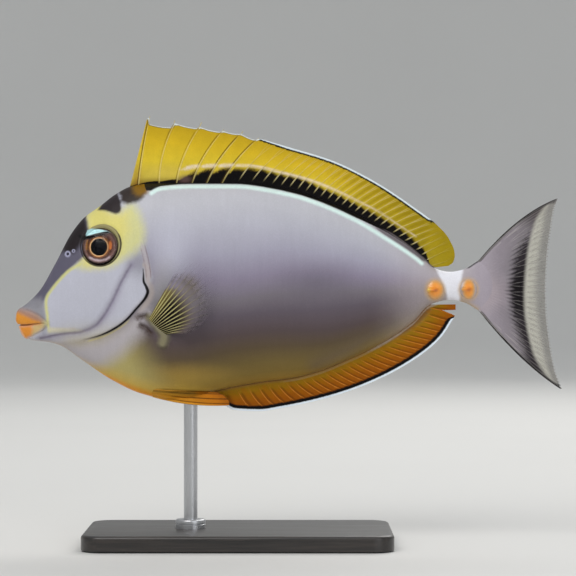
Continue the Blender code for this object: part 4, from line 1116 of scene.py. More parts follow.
for label, side in SIDES:
    matrix = eye_matrix(side)
    iris_rows = finely(IRIS_PROFILE[:IRIS_FRONT], IRIS_STEP) + IRIS_PROFILE[IRIS_FRONT:]
    iris_mesh, local = eye_mesh("iris_" + label, iris_rows, IRIS_TURNS, matrix)
    x = local[:, 0]
    up_sign = 1.0 if (matrix.to_3x3() @ Vector((0.0, 1.0, 0.0))).z > 0 else -1.0
    z = local[:, 1] * up_sign
    reach = np.hypot(x, z)
    lean = unit(1 - reach / EYE_RADIUS)
    from_pupil = np.hypot(x - PUPIL_PLACE[0] * lean, z - PUPIL_PLACE[1] * lean)
    iris_u, iris_v = x + EYE_CENTRE[0], z + EYE_CENTRE[1]
    iris_marks = {
        "iris_radius": from_pupil / EYE_RADIUS,
        "iris_across": 3.0 * x / np.maximum(reach, 0.01),
        "iris_up": 3.0 * z / np.maximum(reach, 0.01),
        "left_gold": np.abs(np.hypot(x - 0.3, z * 0.9) - 5.4) + 2.0 * ramp(x, -4.6, -3.4)
                     + 2.0 * ramp(np.abs(z - 0.8), 1.6, 3.0),
        "pupil": from_pupil - PUPIL_RADIUS,
        "eye_glint_band": outline_distance(CORNERED_AREAS["eye_glint_band"], iris_u, iris_v),
        "brow_line": path_distance(smooth_path(CURVED_LINES["brow_line"]), iris_u, iris_v)[0],
        "silver_crescent": path_distance(SILVER_CRESCENT, x, z)[0],
        "outer_ring": 6.62 - np.hypot(x + 0.1, z - 0.6),
        "olive_rim": 6.55 - reach + 2.0 * (1 - ramp(x, 1.0, 4.0)) + 2.0 * (1 - ramp(z, -4.0, -1.0)),
        "right_glow": np.hypot((x - 3.75) * 2.8, z - 0.5) - 1.6,
    }
    for mark, values in iris_marks.items():
        store(iris_mesh, mark, values)
    iris = add_object("iris_" + label, iris_mesh, iris_finish)
    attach(iris, "root")
    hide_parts("eye_" + label)
    dome = []
    hollow = []
    for k in range(CORNEA_STEPS + 1):
        share = k / CORNEA_STEPS
        rise = (1 - share ** 2) ** CORNEA_CURVE
        dome.append((CORNEA_RADIUS * share, CORNEA_FOOT + (CORNEA_RISE - CORNEA_FOOT) * rise))
        hollow.append(((CORNEA_RADIUS - CORNEA_WALL) * share,
                       CORNEA_FOOT + (CORNEA_RISE - CORNEA_FOOT - CORNEA_WALL) * rise))
    cornea_mesh, _ = eye_mesh("cornea_" + label, dome + hollow[::-1], CORNEA_TURNS, matrix)
    cornea = add_object("cornea_" + label, cornea_mesh, glass)
    cornea.visible_shadow = False
    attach(cornea, "root")


# The fins on the back: two lengths of one fin, six stiff spines and then soft branched
# rays, in a painted web that is thin between the rays.
DORSAL_SPINES = [(45.2, 49.3, 63.1, 0.6, 3.0), (52.8, 58.5, 61.5, 2.7, 1.0), (59.2, 68.3, 60.9, 2.6, 1.9),
                 (64.9, 76.4, 58.2, 1.2, 0.6), (70.3, 83.5, 57.5, 1.3, 1.2), (75.9, 89.2, 55.1, 1.1, 0.6)]
DORSAL_FRONT_ROOT = 42.3
DORSAL_RAYS = [(76.95, 89.95, 54.7), (86.3, 99.8, 51.8), (104.6, 116.3, 46.7), (119.2, 131.6, 39.2),
               (133.8, 146.6, 29.3), (141.2, 154.7, 23.1), (148.5, 159.5, 17.2), (152.1, 161.2, 11.7),
               (152.75, 160.6, 9.4), (153.2, 158.8, 8.1)]
DORSAL_RAY_COUNT = 28
DORSAL_FORKS = [0.55]
DORSAL_RAY_HALVES = (0.36, 0.2)
FIRST_RAY = 0.6
RAY_CROWDING = 0.74
BAND_TOP = [(42.0, 0.0), (48.0, 0.4), (60.6, 1.4), (64.3, 2.9), (68.0, 4.2), (75.3, 4.7), (82.6, 5.3),
            (89.9, 5.4), (97.2, 4.6), (104.6, 4.9), (111.9, 3.9), (119.2, 3.7), (126.5, 3.4), (133.8, 3.6),
            (141.2, 3.8), (146.0, 3.7), (150.0, 3.3), (151.6, 1.5), (152.6, 0.0), (162.0, 0.0)]
PALE_LINE = [(60.5, 43.4), (64.0, 44.2), (68.0, 44.7), (82.6, 45.0), (89.9, 44.3), (97.2, 42.5),
             (104.6, 40.6), (111.9, 38.2), (119.2, 35.1), (126.5, 31.5), (133.8, 27.8), (141.2, 22.7),
             (147.0, 18.9)]
EDGE_HALF = 0.13
ROOT_HALF = 0.32
RAY_BOW = 1.3
FIN_CREASE = 70
RAY_JOINT = 0.8
WEB_SUNK = 0.1
WEB_STEPS = 6


def make_ray_tree():
    """Geometry Nodes tree: turns a fin's loose lines into tapering rays and keeps its web."""
    tree = bpy.data.node_groups.new("fin rays", "GeometryNodeTree")
    tree.is_modifier = True
    for label, kind in (("Geometry", "Geometry"), ("Sides", "Int"), ("Thickness", "Float"),
                        ("Finish", "Material")):
        tree.interface.new_socket(label, in_out="INPUT", socket_type="NodeSocket" + kind)
    tree.interface.new_socket("Geometry", in_out="OUTPUT", socket_type="NodeSocketGeometry")
    given = tree.nodes.new("NodeGroupInput").outputs
    radius = add_node(tree, "GeometryNodeInputNamedAttribute", {"Name": "ray_radius"},
                      data_type="FLOAT").outputs[0]
    is_ray = add_node(tree, "FunctionNodeCompare", {0: radius, 1: 0.0}, operation="GREATER_THAN").outputs[0]
    parted = add_node(tree, "GeometryNodeSeparateGeometry", {0: given["Geometry"], 1: is_ray},
                      domain="POINT").outputs
    lines = add_node(tree, "GeometryNodeMeshToCurve", {0: parted["Selection"]}).outputs[0]
    circle = add_node(tree, "GeometryNodeCurvePrimitiveCircle",
                      {"Resolution": given["Sides"], "Radius": 1.0}).outputs[0]
    thick = worked(tree, "MULTIPLY", radius, given["Thickness"])
    tubes = add_node(tree, "GeometryNodeCurveToMesh",
                     {"Curve": lines, "Profile Curve": circle, "Scale": thick, "Fill Caps": True}).outputs[0]
    joined = tree.nodes.new("GeometryNodeJoinGeometry")
    tree.links.new(parted["Inverted"], joined.inputs[0])
    tree.links.new(tubes, joined.inputs[0])
    smooth = add_node(tree, "GeometryNodeSetShadeSmooth", {0: joined.outputs[0]}).outputs[0]
    real = add_node(tree, "GeometryNodeRealizeInstances", {0: smooth}).outputs[0]
    done = add_node(tree, "GeometryNodeSetMaterial", {0: real, "Material": given["Finish"]}).outputs[0]
    tree.links.new(done, tree.nodes.new("NodeGroupOutput").inputs[0])
    return tree


ray_tree = make_ray_tree()


def branched_rays(centres, forks, radii, ends=(0.0, 0.985), steps=26, spread=0.14):
    """Lines of soft rays as (across, along, radius) rows: each ray forks where forks say,
    and its branches spread to share the space between its neighbours."""
    lines = []

    def grow(centre, level, start, spread):
        """One stretch of a ray from start to its next fork, then its branches."""
        stop = forks[level] if level < len(forks) else ends[1]
        count = max(int(steps * (stop - start)), 3)
        t = np.linspace(start, stop, count + 1)
        share = (t - ends[0]) / (ends[1] - ends[0])
        radius = radii[0] + (radii[1] - radii[0]) * share
        radius = radius * 0.8 ** level
        lines.append((centre(t), t, radius))
        if level < len(forks):
            for way in (-1.0, 1.0):
                open_by = spread * way

                def branch(t, base=centre, fork=stop, reach=open_by):
                    return base(t) + reach * ramp(t, fork - 0.02, min(fork + 0.45, 1.0))

                grow(branch, level + 1, stop, spread * 0.5)

    for middle_of, spacing in zip(centres, np.gradient(centres)):
        grow(lambda t, m=middle_of: np.full(np.shape(t), m), 0, ends[0], spacing * spread)
    return lines


def crowded(shares):
    """Places along a fin for even shares of its rays: the rays stand closer towards its rear end."""
    return unit(shares) ** RAY_CROWDING


def ray_number(a, rays, first):
    """How many rays of a fin stand ahead of a place along it; the first ray stands at a share of a gap."""
    return unit(a) ** (1 / RAY_CROWDING) * rays - first


def column_curves(places, rows):
    """A smooth curve through each column of a table, over the places of its rows."""
    return [smooth_curve(list(zip(places, column))) for column in np.array(rows).T]


def bowed(reach, t):
    """How far a ray stands off a straight line, most by reach at its middle."""
    return 4 * reach * unit(t) * (1 - unit(t))


def in_middle(u, v):
    """Points in the middle plane of the fish."""
    return np.stack([u, np.zeros(np.shape(u)), v], axis=-1)


def ray_path(sheet, place, reach, steps):
    """The line of the ray at a place across a fin, in the side view."""
    return sheet(np.full(steps, place), np.linspace(0.0, reach, steps))[:, [0, 2]]


def ray_length(sheet, a):
    """How long the ray at a place across a fin is."""
    ends = sheet(a, np.ones(np.shape(a))) - sheet(a, np.zeros(np.shape(a)))
    return np.linalg.norm(ends, axis=-1)


def foot_to_edge(buried, steps):
    """Places along a web: one below the skin, and the rest evenly from the foot to the free edge."""
    return np.concatenate([[-buried], np.linspace(0.0, 1.0, steps)])


def fin_piece(name, node, sheet, across, down, half, lines, marks, finish, sides=8):
    """One fin: its web as a closed thin slab on a sheet, with raised rays along lines.
    across and down are the sheet's own coordinates; marks gives the numbers kept for painting."""
    nudge = 1e-3
    a, t = np.meshgrid(across, down, indexing="ij")
    centre = sheet(a, t)
    normal = np.cross(sheet(a + nudge, t) - sheet(a - nudge, t), sheet(a, t + nudge) - sheet(a, t - nudge))
    normal /= np.maximum(np.linalg.norm(normal, axis=-1, keepdims=True), 1e-12)
    wide = half(a, t)[..., None]
    rows, columns = a.shape
    points = [(centre + normal * wide).reshape(-1, 3), (centre - normal * wide).reshape(-1, 3)]
    where = [np.stack([a.ravel(), t.ravel()], axis=1)] * 2
    radius = [np.zeros(rows * columns * 2)]
    index = np.arange(rows * columns).reshape(rows, columns)
    far = index + rows * columns
    faces = []
    for i in range(rows - 1):
        for j in range(columns - 1):
            faces.append((index[i, j], index[i + 1, j], index[i + 1, j + 1], index[i, j + 1]))
            faces.append((far[i, j], far[i, j + 1], far[i + 1, j + 1], far[i + 1, j]))
    ring = ([(i, 0) for i in range(rows)] + [(rows - 1, j) for j in range(1, columns)]
            + [(i, columns - 1) for i in range(rows - 2, -1, -1)]
            + [(0, j) for j in range(columns - 2, 0, -1)])
    for here, following in zip(ring, ring[1:] + ring[:1]):
        faces.append((index[here], far[here], far[following], index[following]))
    edges = []
    count = rows * columns * 2
    for line_a, line_t, line_radius in lines:
        points.append(sheet(line_a, line_t))
        where.append(np.stack([line_a, line_t], axis=1))
        radius.append(line_radius)
        edges += [(count + i, count + i + 1) for i in range(len(line_a) - 1)]
        count += len(line_a)
    points = np.concatenate(points)
    where = np.concatenate(where)
    mesh = bpy.data.meshes.new(name)
    mesh.from_pydata(placed(points[:, 0], points[:, 1], points[:, 2]), edges, faces)
    face_outward(mesh)
    thickness = np.concatenate(radius)
    store(mesh, "ray_radius", thickness * MM)
    store(mesh, "ray", thickness > 0)
    for label, values in marks(where[:, 0], where[:, 1], points[:, 0], points[:, 2]).items():
        store(mesh, label, values)
    holder = add_object(name + "_lines", mesh)
    modifier = holder.modifiers.new("rays", "NODES")
    modifier.node_group = ray_tree
    sockets = {item.name: item.identifier for item in ray_tree.interface.items_tree if item.in_out == "INPUT"}
    modifier[sockets["Sides"]] = sides
    modifier[sockets["Thickness"]] = 1.0
    modifier[sockets["Finish"]] = finish
    bpy.context.view_layer.update()
    result = bpy.data.meshes.new_from_object(holder.evaluated_get(bpy.context.evaluated_depsgraph_get()))
    bpy.data.objects.remove(holder)
    result.name = name
    result.shade_smooth()
    result.set_sharp_from_angle(angle=math.radians(FIN_CREASE))
    piece = add_object(name, result)
    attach(piece, "root")
    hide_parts(node)
    return piece


def fin_half(t, root, edge, ray_share, power=5, most=1.3):
    """Half thickness of a web: thick at the root, thinner between rays than at them."""
    body = edge + (root - edge) * np.clip(1 - t, 0.0, most) ** power
    return body * (1 - 0.3 * unit(t) * np.sin(math.pi * ray_share) ** 2)


def fin_shader(name, base_stops, layers, ray_colour, ray_opacity, alpha=None, base_name="share_up",
               roughness=0.42):
    """A painted fin: a run of colours, painted layers, pale rays and a fine grain. With alpha, its film
    runs from the first opacity to the second, and its rays add the third."""
    finish, tree, shader = new_finish(name, roughness, Specular_IOR_Level=FIN_SHEEN)
    grain = object_noise(tree, 2400.0, 3.0)
    cloud = object_noise(tree, 240.0, 3.0)
    ragged = object_noise(tree, 1500.0, 2.0)
    colour = colour_ramp(tree, stored(tree, base_name), base_stops)
    colour = painted(tree, colour, layers, ragged)
    shown = worked(tree, "MULTIPLY", stored(tree, "ray_show"), ray_opacity)
    strength = worked(tree, "MULTIPLY", stored(tree, "ray"), shown)
    colour = mixed(tree, strength, colour, srgb(*ray_colour))
    tone = worked(tree, "ADD", worked(tree, "MULTIPLY", grain, 0.4), worked(tree, "MULTIPLY", cloud, 0.6))
    tree.links.new(toned(tree, colour, tone, 0.8, 1.2), shader.inputs["Base Color"])
    turned = worked(tree, "MULTIPLY", stored(tree, "along_ray"), 2 * math.pi / RAY_JOINT)
    joints = worked(tree, "MULTIPLY", worked(tree, "SINE", turned), 0.35)
    ringed = worked(tree, "MULTIPLY", joints, stored(tree, "ray"))
    embossed(tree, shader, worked(tree, "ADD", grain, ringed), 0.4, 0.0001)
    if alpha:
        clear = add_node(tree, "ShaderNodeMapRange",
                         {0: stored(tree, "film"), 3: alpha[0], 4: alpha[1]}).outputs[0]
        solid = worked(tree, "MAXIMUM", clear, worked(tree, "MULTIPLY", strength, alpha[2]))
        tree.links.new(solid, shader.inputs["Alpha"])
    return finish


GOLD = [(0.0, (130, 108, 44)), (0.12, (204, 182, 70)), (0.4, (222, 194, 52)), (0.7, (216, 182, 38)),
        (1.0, (194, 160, 30))]
DORSAL_LAYERS = [
    ("rear_olive", 0.0, 30.0, 2.0, (152, 133, 16), 0.9),
    # Partly the web's own olive and partly painted shade, darker between the rays.
    ("between_rays", 0.7, 0.6, 0.4, (132, 112, 4), 0.5),
    ("band", 1.04, 0.3, 0.15, (52, 34, 12), 1.0),
    ("band", 0.93, 0.14, 0.15, (7, 4, 5), 1.0),
    ("grey_foot", 0.45, 0.3, 0.15, (104, 96, 98), 0.9),
    ("pale_line", 0.36, 0.6, 0.5, (242, 226, 208), 0.9),
    ("from_edge", 1.2, 0.25, 0.9, (12, 11, 9), 1.0),
    ("from_edge", 0.6, 0.18, 0.35, (226, 238, 244), 1.0),
]
dorsal_finish = fin_shader("dorsal web", GOLD, DORSAL_LAYERS, (214, 198, 140), 0.75)
SPINE_LAYERS = [
    ("front_foot", 0.0, 1.8, 1.2, (150, 98, 30), 0.75),
    ("near_foot", 0.0, 3.0, 1.0, (222, 196, 84), 0.6),
    ("band", 1.04, 0.3, 0.4, (60, 36, 20), 0.95),
    ("band", 0.9, 0.16, 0.4, (8, 5, 6), 1.0),
    ("brown_gap", 0.0, 1.0, 0.6, (104, 80, 76), 0.75),
    ("spine_side", 0.2, 0.24, 0.1, (70, 50, 14), 0.85),
    ("pale_line", 0.5, 0.75, 0.9, (240, 224, 210), 0.9),
    ("from_edge", 0.45, 0.2, 0.3, (84, 72, 30), 0.75),
    ("white_edge", 0.3, 0.16, 0.2, (226, 236, 236), 0.9),
]
spine_finish = fin_shader("spiny dorsal web", GOLD, SPINE_LAYERS, (228, 208, 128), 0.6)

band_top = smooth_curve(BAND_TOP)
pale_path = smooth_path(PALE_LINE)


def middle_sheet(rays, foot_v, bow):
    """A fin in the middle plane, from its rays' roots and tips. Across runs along its foot, along runs
    from the foot to the margin, and the rays bow forward by as much as bow gives for a place across."""
    roots = [ray[0] for ray in rays]
    tip_u, tip_v = column_curves(roots, [ray[1:] for ray in rays])

    def sheet(a, t):
        root = roots[0] + (roots[-1] - roots[0]) * a
        u = root + (tip_u(root) - root) * t - bowed(bow(a), t)
        return in_middle(u, foot_v(root) + (tip_v(root) - foot_v(root)) * t)

    return sheet


def margin_distance(sheet, u, v):
    """Distance from a fin's free margin."""
    a = np.linspace(0.0, 1.0, 120)
    return path_distance(sheet(a, np.ones(120))[:, [0, 2]], u, v)[0]


rear_sheet = middle_sheet(DORSAL_RAYS, lambda u: back(u) - WEB_SUNK,
                          lambda a: RAY_BOW * (1 - ramp(a, 0.75, 1.0)))


def dorsal_marks(sheet, rays=0.0):
    """The numbers kept for painting a fin of the back. Its black band is highest behind each ray."""
    def marks(a, t, u, v):
        above = v - back(u)
        edge = margin_distance(sheet, u, v)
        after_ray = ray_number(a, rays, FIRST_RAY) % 1.0
        flame = 1.1 - 0.2 * after_ray
        band = above / np.maximum(band_top(u) * flame, 0.01)
        in_band = 1 - ramp(band, 0.95, 1.2)
        show = in_band * ramp(band, 0.15, 0.75) + (1 - in_band) * (0.3 + 0.26 * ramp(u, 95.0, 125.0)
                                                                  - 0.46 * ramp(u, 146.0, 156.0))
        return {"share_up": unit(t), "band": band, "grey_foot": above + 4.0 * (1 - ramp(u, 122.0, 139.0)),
                # Painted shade on the web between the rays.
                "between_rays": np.abs(after_ray - 0.5) * 2.5 + 2.2 * (1 - ramp(u, 90.0, 132.0))
                                + 1.5 * ramp(u, 149.0, 156.0) + 0.6 * ramp(t, 0.8, 1.0),
                "pale_line": path_distance(pale_path, u, v)[0] + 0.3 * ramp(u, 105.0, 145.0),
                "rear_olive": 138.0 - u,
                "from_edge": edge + 1.5 * ramp(u, 151.0, 155.0) + 0.35 * (1 - ramp(u, 90.0, 100.0)),
                "along_ray": t * ray_length(sheet, a),
                "ray_show": show * (0.25 + 0.75 * ramp(edge, 0.9, 2.5))}
    return marks


ray_places = crowded((np.arange(DORSAL_RAY_COUNT) + FIRST_RAY) / DORSAL_RAY_COUNT)
dorsal_lines = branched_rays(ray_places, DORSAL_FORKS, DORSAL_RAY_HALVES, (-0.06, 0.995))
piece = fin_piece("dorsal_fin_soft", "dorsal_fin_rear", rear_sheet,
                  crowded(np.linspace(0.0, 1.0, DORSAL_RAY_COUNT * WEB_STEPS + 1)), foot_to_edge(0.08, 21),
                  lambda a, t: fin_half(t, ROOT_HALF, EDGE_HALF, ray_number(a, DORSAL_RAY_COUNT, FIRST_RAY)),
                  dorsal_lines, dorsal_marks(rear_sheet, DORSAL_RAY_COUNT), dorsal_finish)

# The web between the spines ends a little below each spine's tip and sags between them.
spine_stations = [(DORSAL_FRONT_ROOT, DORSAL_SPINES[0][1] - 0.9, DORSAL_SPINES[0][2] - 1.0)]
for root_u, tip_u, tip_v, drop_ahead, drop_behind in DORSAL_SPINES:
    foot = np.array([root_u, float(back(np.float64(root_u)))])
    tip = np.array([tip_u, tip_v])
    along = (tip - foot) / np.linalg.norm(tip - foot)
    for step, drop in ((-0.03, drop_ahead), (0.03, drop_behind)):
        spine_stations.append((root_u + step, *(tip - along * drop)))
spine_stations.append(DORSAL_RAYS[0])
station_u, station_tip_u, station_tip_v = np.array(spine_stations).T
SPINE_SAG = 0.35
BROWN_GAP = (62.2, 1.2, 1.7, 1.0, 1.3)
FRONT_FOOT = (44.6, 39.0, 1.4, 5.0, 0.6)
NEAR_FOOT = (55.0, 42.5, 3.0, 1.0, 1.5)


def spiny_sheet(a, t):
    """The front fin's web, straight from spine to spine with a sagging margin."""
    root = station_u[0] + (station_u[-1] - station_u[0]) * a
    here = np.clip(np.searchsorted(station_u, root) - 1, 0, len(station_u) - 2)
    share = (root - station_u[here]) / (station_u[here + 1] - station_u[here])
    wide = station_u[here + 1] - station_u[here]
    sag = SPINE_SAG * np.sin(math.pi * unit(share)) * np.where(wide > 3.0, 1.0, 0.0)
    tip_of_u = np.interp(root, station_u, station_tip_u)
    tip_of_v = np.interp(root, station_u, station_tip_v) - sag
    foot = back(root) - WEB_SUNK
    u = root + (tip_of_u - root) * t - bowed(RAY_BOW * ramp(a, 0.0, 0.25), t)
    return in_middle(u, foot + (tip_of_v - foot) * t)


def spine_marks(a, t, u, v):
    """The numbers kept for painting the spiny part."""
    numbers = dorsal_marks(spiny_sheet)(a, t, u, v)
    ahead = []
    for place, reach in spine_places:
        gap, _, side = path_distance(ray_path(spiny_sheet, place, reach, 16), u, v)
        ahead.append(np.abs(gap * side - 0.42))
    edge = margin_distance(spiny_sheet, u, v)
    numbers["spine_side"] = np.min(ahead, axis=0) + 0.2 * ramp(t, 0.9, 1.0)
    numbers["from_edge"] = edge
    numbers["white_edge"] = edge + 0.1 * (1 - ramp(u, 50.0, 62.0))
    roots = station_u[0] + (station_u[-1] - station_u[0]) * unit(a)
    ends = np.array([DORSAL_FRONT_ROOT] + [row[0] for row in DORSAL_SPINES] + [DORSAL_RAYS[0][0] + 5.0])
    before = np.clip(np.searchsorted(ends, roots) - 1, 0, len(ends) - 2)
    behind_spine = (roots - ends[before]) / (ends[before + 1] - ends[before])
    numbers["band"] = numbers["band"] / (0.74 + 0.36 * ramp(behind_spine, 0.0, 0.6))
    numbers["pale_line"] = numbers["pale_line"] + 0.7 * (1 - ramp(behind_spine, 0.04, 0.34))
    numbers["brown_gap"] = spot_distance(BROWN_GAP, u, v - back(u))
    numbers["front_foot"] = spot_distance(FRONT_FOOT, u, v)
    numbers["near_foot"] = spot_distance(NEAR_FOOT, u, v)
    numbers["ray_show"] = np.where(a < 0.004, 0.35, 1.0) * (0.5 + 0.5 * ramp(numbers["band"], 0.1, 0.7))
    return numbers


spine_rows = []
spine_places = []
span = station_u[-1] - station_u[0]
for root_u, tip_u, tip_v, _, _ in DORSAL_SPINES:
    a = (root_u - station_u[0]) / span
    tip = np.array([tip_u, tip_v])
    margin = spiny_sheet(np.array([a]), np.array([1.0]))[0][[0, 2]]
    foot = np.array([root_u, float(back(np.float64(root_u)))])
    reach = np.linalg.norm(tip - foot) / np.linalg.norm(margin - foot)
    spine_places.append((a, reach))
    t = np.linspace(-0.06, reach, 24)
    radius = 0.3 * (1 - unit(t / reach) ** 1.5) + 0.08
    spine_rows.append((np.full(t.shape, a), t, radius))
front_edge = np.linspace(-0.04, 1.0, 20)
spine_rows.append((np.zeros(20), front_edge, 0.3 - 0.15 * front_edge))
between = np.concatenate([np.linspace(lo, hi, 13)[:-1] for lo, hi in zip(station_u[:-1], station_u[1:])
                          if hi - lo > 0.3] + [station_u[-1:]])
piece = fin_piece("dorsal_fin_spiny", "dorsal_fin_front", spiny_sheet, (between - station_u[0]) / span,
                  foot_to_edge(0.08, 25), lambda a, t: fin_half(t, ROOT_HALF, EDGE_HALF, 0.0), spine_rows,
                  spine_marks, spine_finish, 10)


# The anal fin: a long soft fin under the belly, olive at its foot and orange beyond, with
# a black line and a pale blue edge.
ANAL_RAYS = [(73.0, 75.6, -42.2), (77.0, 80.6, -44.8), (82.6, 89.2, -45.2), (89.9, 97.2, -44.1),
             (104.6, 115.5, -40.0), (122.9, 135.7, -32.3), (141.2, 155.1, -19.2), (148.5, 159.6, -12.9),
             (151.2, 161.5, -8.6), (152.2, 161.5, -6.0)]
ANAL_RAY_COUNT = 29
ANAL_FIRST_RAY = 0.3
ANAL_FORKS = [0.62]
ANAL_RAY_HALVES = (0.32, 0.18)
SLIT_PLACE = 0.984
SLIT_WIDTH = 0.0068
SLIT_DEPTH = 0.5
ANAL_STOPS = [(0.0, (112, 90, 56)), (0.05, (138, 116, 52)), (0.12, (144, 118, 20)), (0.28, (144, 112, 4)),
              (0.42, (148, 98, 0)), (0.6, (146, 80, 0)), (0.85, (136, 69, 0)), (1.0, (120, 60, 0))]
ANAL_LAYERS = [
    ("flame", 0.0, 0.5, 0.3, (170, 96, 8), 0.5),
    ("streak", 0.0, 0.4, 0.4, (160, 96, 2), 0.45),
    ("ray_side", 0.3, 0.35, 0.3, (92, 46, 0), 0.55),
    ("foot_line", 0.15, 0.4, 0.2, (88, 66, 48), 0.75),
    ("pale_foot", 0.2, 0.45, 0.2, (186, 160, 130), 0.55),
    ("pale_rear", 0.3, 0.5, 0.6, (176, 168, 156), 0.75),
    ("from_edge", 1.95, 0.35, 0.35, (6, 5, 6), 1.0),
    ("from_edge", 0.7, 0.2, 0.25, (228, 238, 248), 1.0),
]
anal_finish = fin_shader("anal web", ANAL_STOPS, ANAL_LAYERS, (204, 128, 44), 0.75)
full_anal_sheet = middle_sheet(ANAL_RAYS, lambda u: belly(u) + WEB_SUNK,
                               lambda a: RAY_BOW * ramp(a, 0.0, 0.2) * (1 - ramp(a, 0.7, 0.95)))


def anal_sheet(a, t):
    """The anal fin, with the slit that parts its last two rays."""
    return full_anal_sheet(a, t * (1 - SLIT_DEPTH * unit(1 - np.abs(a - SLIT_PLACE) / SLIT_WIDTH)))


def anal_marks(a, t, u, v):
    """The numbers kept for painting the anal fin."""
    number = ray_number(a, ANAL_RAY_COUNT, ANAL_FIRST_RAY)
    after_ray = number % 1.0
    edge = margin_distance(anal_sheet, u, v)
    edge = edge * np.where(edge > 1.2, 1.05 - 0.12 * after_ray, 1.0) + 3.0 * ramp(v, -11.5, -9.6)
    under = belly(u) - v
    uneven = 0.5 + 0.5 * np.sin(np.floor(number) * 2.4)
    ragged_share = uneven * ramp(after_ray, 0.1, 0.4) * (1 - ramp(after_ray, 0.6, 0.95))
    return {"share_up": unit(t - 0.16 * ramp(u, 125.0, 155.0)), "from_edge": edge,
            "foot_line": np.abs(under) + 1.5 * ramp(u, 118.0, 138.0),
            "pale_foot": np.abs(under - 0.75) + 0.6 * (1 - ramp(u, 92.0, 102.0)),
            "ray_side": np.abs(after_ray - 0.2) * 2.4 + 1.4 * (1 - ramp(t, 0.06, 0.36)),
            "streak": 0.5 - ragged_share * ramp(t, 0.04, 0.2) * (1 - ramp(t, 0.5, 0.8)),
            "pale_rear": np.abs(under - 0.5) + 2.0 * (1 - ramp(u, 116.0, 134.0)),
            "flame": (after_ray - 0.1 - 0.5 * unit(t)) * 2.0, "along_ray": t * ray_length(anal_sheet, a),
            "ray_show": (0.15 + 0.85 * ramp(t, 0.12, 0.5)) * ramp(edge, 1.9, 2.6)}


anal_across = np.unique(np.concatenate([crowded(np.linspace(0.0, 1.0, ANAL_RAY_COUNT * WEB_STEPS + 1)),
                                        np.linspace(SLIT_PLACE - SLIT_WIDTH, SLIT_PLACE + SLIT_WIDTH, 17)]))
anal_places = crowded((np.arange(ANAL_RAY_COUNT) + ANAL_FIRST_RAY) / ANAL_RAY_COUNT)
piece = fin_piece("anal_fin_soft", "anal_fin", anal_sheet, anal_across, foot_to_edge(0.1, 19),
                  lambda a, t: fin_half(t, ROOT_HALF, EDGE_HALF,
                                        ray_number(a, ANAL_RAY_COUNT, ANAL_FIRST_RAY)),
                  branched_rays(anal_places, ANAL_FORKS, ANAL_RAY_HALVES, (-0.08, 0.995)),
                  anal_marks, anal_finish)


# The tail fin: sixteen rays, each forked twice, spread to a crescent; grey, with a dark
# streaked band and a pale see-through border behind it.
TAIL_RAYS = [(9.8, 198.4, 32.6, 2.9), (8.2, 197.2, 29.0, 2.5), (5.5, 196.2, 22.7, 1.7),
             (3.2, 195.2, 15.7, 0.9), (1.4, 194.5, 7.3, 0.3), (0.0, 194.2, -0.7, 0.0),
             (-1.4, 194.4, -8.1, -0.3), (-3.0, 195.1, -15.4, -0.8), (-4.8, 196.1, -22.7, -1.3),
             (-6.6, 197.5, -29.8, -1.9), (-8.0, 200.0, -36.9, -2.4)]
TAIL_ROOT = 170.0
PINK_BASE = (170.0, -1.5, 1.4, 1.0, 5.5)
TAIL_RAY_COUNT = 16
TAIL_FORKS = [0.3, 0.62]
TAIL_RAY_HALVES = (0.5, 0.26)
TAIL_CORNERS = ((197.4, 32.3), (199.4, -36.4))
TAIL_BAND = [(197.0, 33.4), (193.4, 28.6), (190.8, 24.2), (188.6, 15.7), (187.5, 8.4), (186.9, -0.7),
             (187.0, -8.1), (188.0, -15.4), (190.4, -24.5), (194.2, -31.1), (198.8, -36.4)]
BAND_DEPTH = [(-37.0, 4.4), (-28.2, 4.0), (-22.7, 3.0), (-17.2, 3.8), (-11.7, 4.5), (-6.2, 5.0), (-0.7, 5.7),
              (4.8, 4.9), (10.2, 4.8), (15.7, 3.8), (21.2, 2.7), (33.0, 2.0)]
TAIL_STOPS = [(0.0, (172, 163, 173)), (0.3, (148, 140, 148)), (0.6, (128, 122, 127)), (1.0, (114, 108, 112))]
TAIL_LAYERS = [
    ("tail_base_pink", 0.0, 5.0, 0.8, (182, 168, 174), 0.7),
    ("tail_band", 0.0, 2.0, 1.6, (36, 30, 35), 0.95),
    ("tail_core", 0.0, 1.4, 0.9, (16, 12, 15), 0.9),
    ("tip_dark", 0.0, 4.5, 0.8, (62, 54, 54), 0.85),
    ("behind_band", 0.0, 1.1, 0.3, (202, 200, 188), 1.0),
    ("to_margin", 3.4, 1.8, 0.8, (142, 140, 136), 0.85),
    ("from_side", 0.6, 0.3, 0.25, (14, 11, 13), 1.0),
    ("very_tip", 0.0, 0.7, 0.3, (12, 10, 12), 1.0),
]
tail_finish = fin_shader("tail web", TAIL_STOPS, TAIL_LAYERS, (190, 184, 182), 0.5, (1.0, 0.62, 0.85))
tail_root_v, tail_tip_u, tail_tip_v, tail_bow = column_curves(
    np.linspace(0.0, 1.0, len(TAIL_RAYS)), TAIL_RAYS)


def tail_sheet(a, t):
    """Across runs from the top ray to the bottom one, along from the stalk to the rear edge."""
    u = TAIL_ROOT + (tail_tip_u(a) - TAIL_ROOT) * t
    return in_middle(u, tail_root_v(a) + (tail_tip_v(a) - tail_root_v(a)) * t + bowed(tail_bow(a), t))


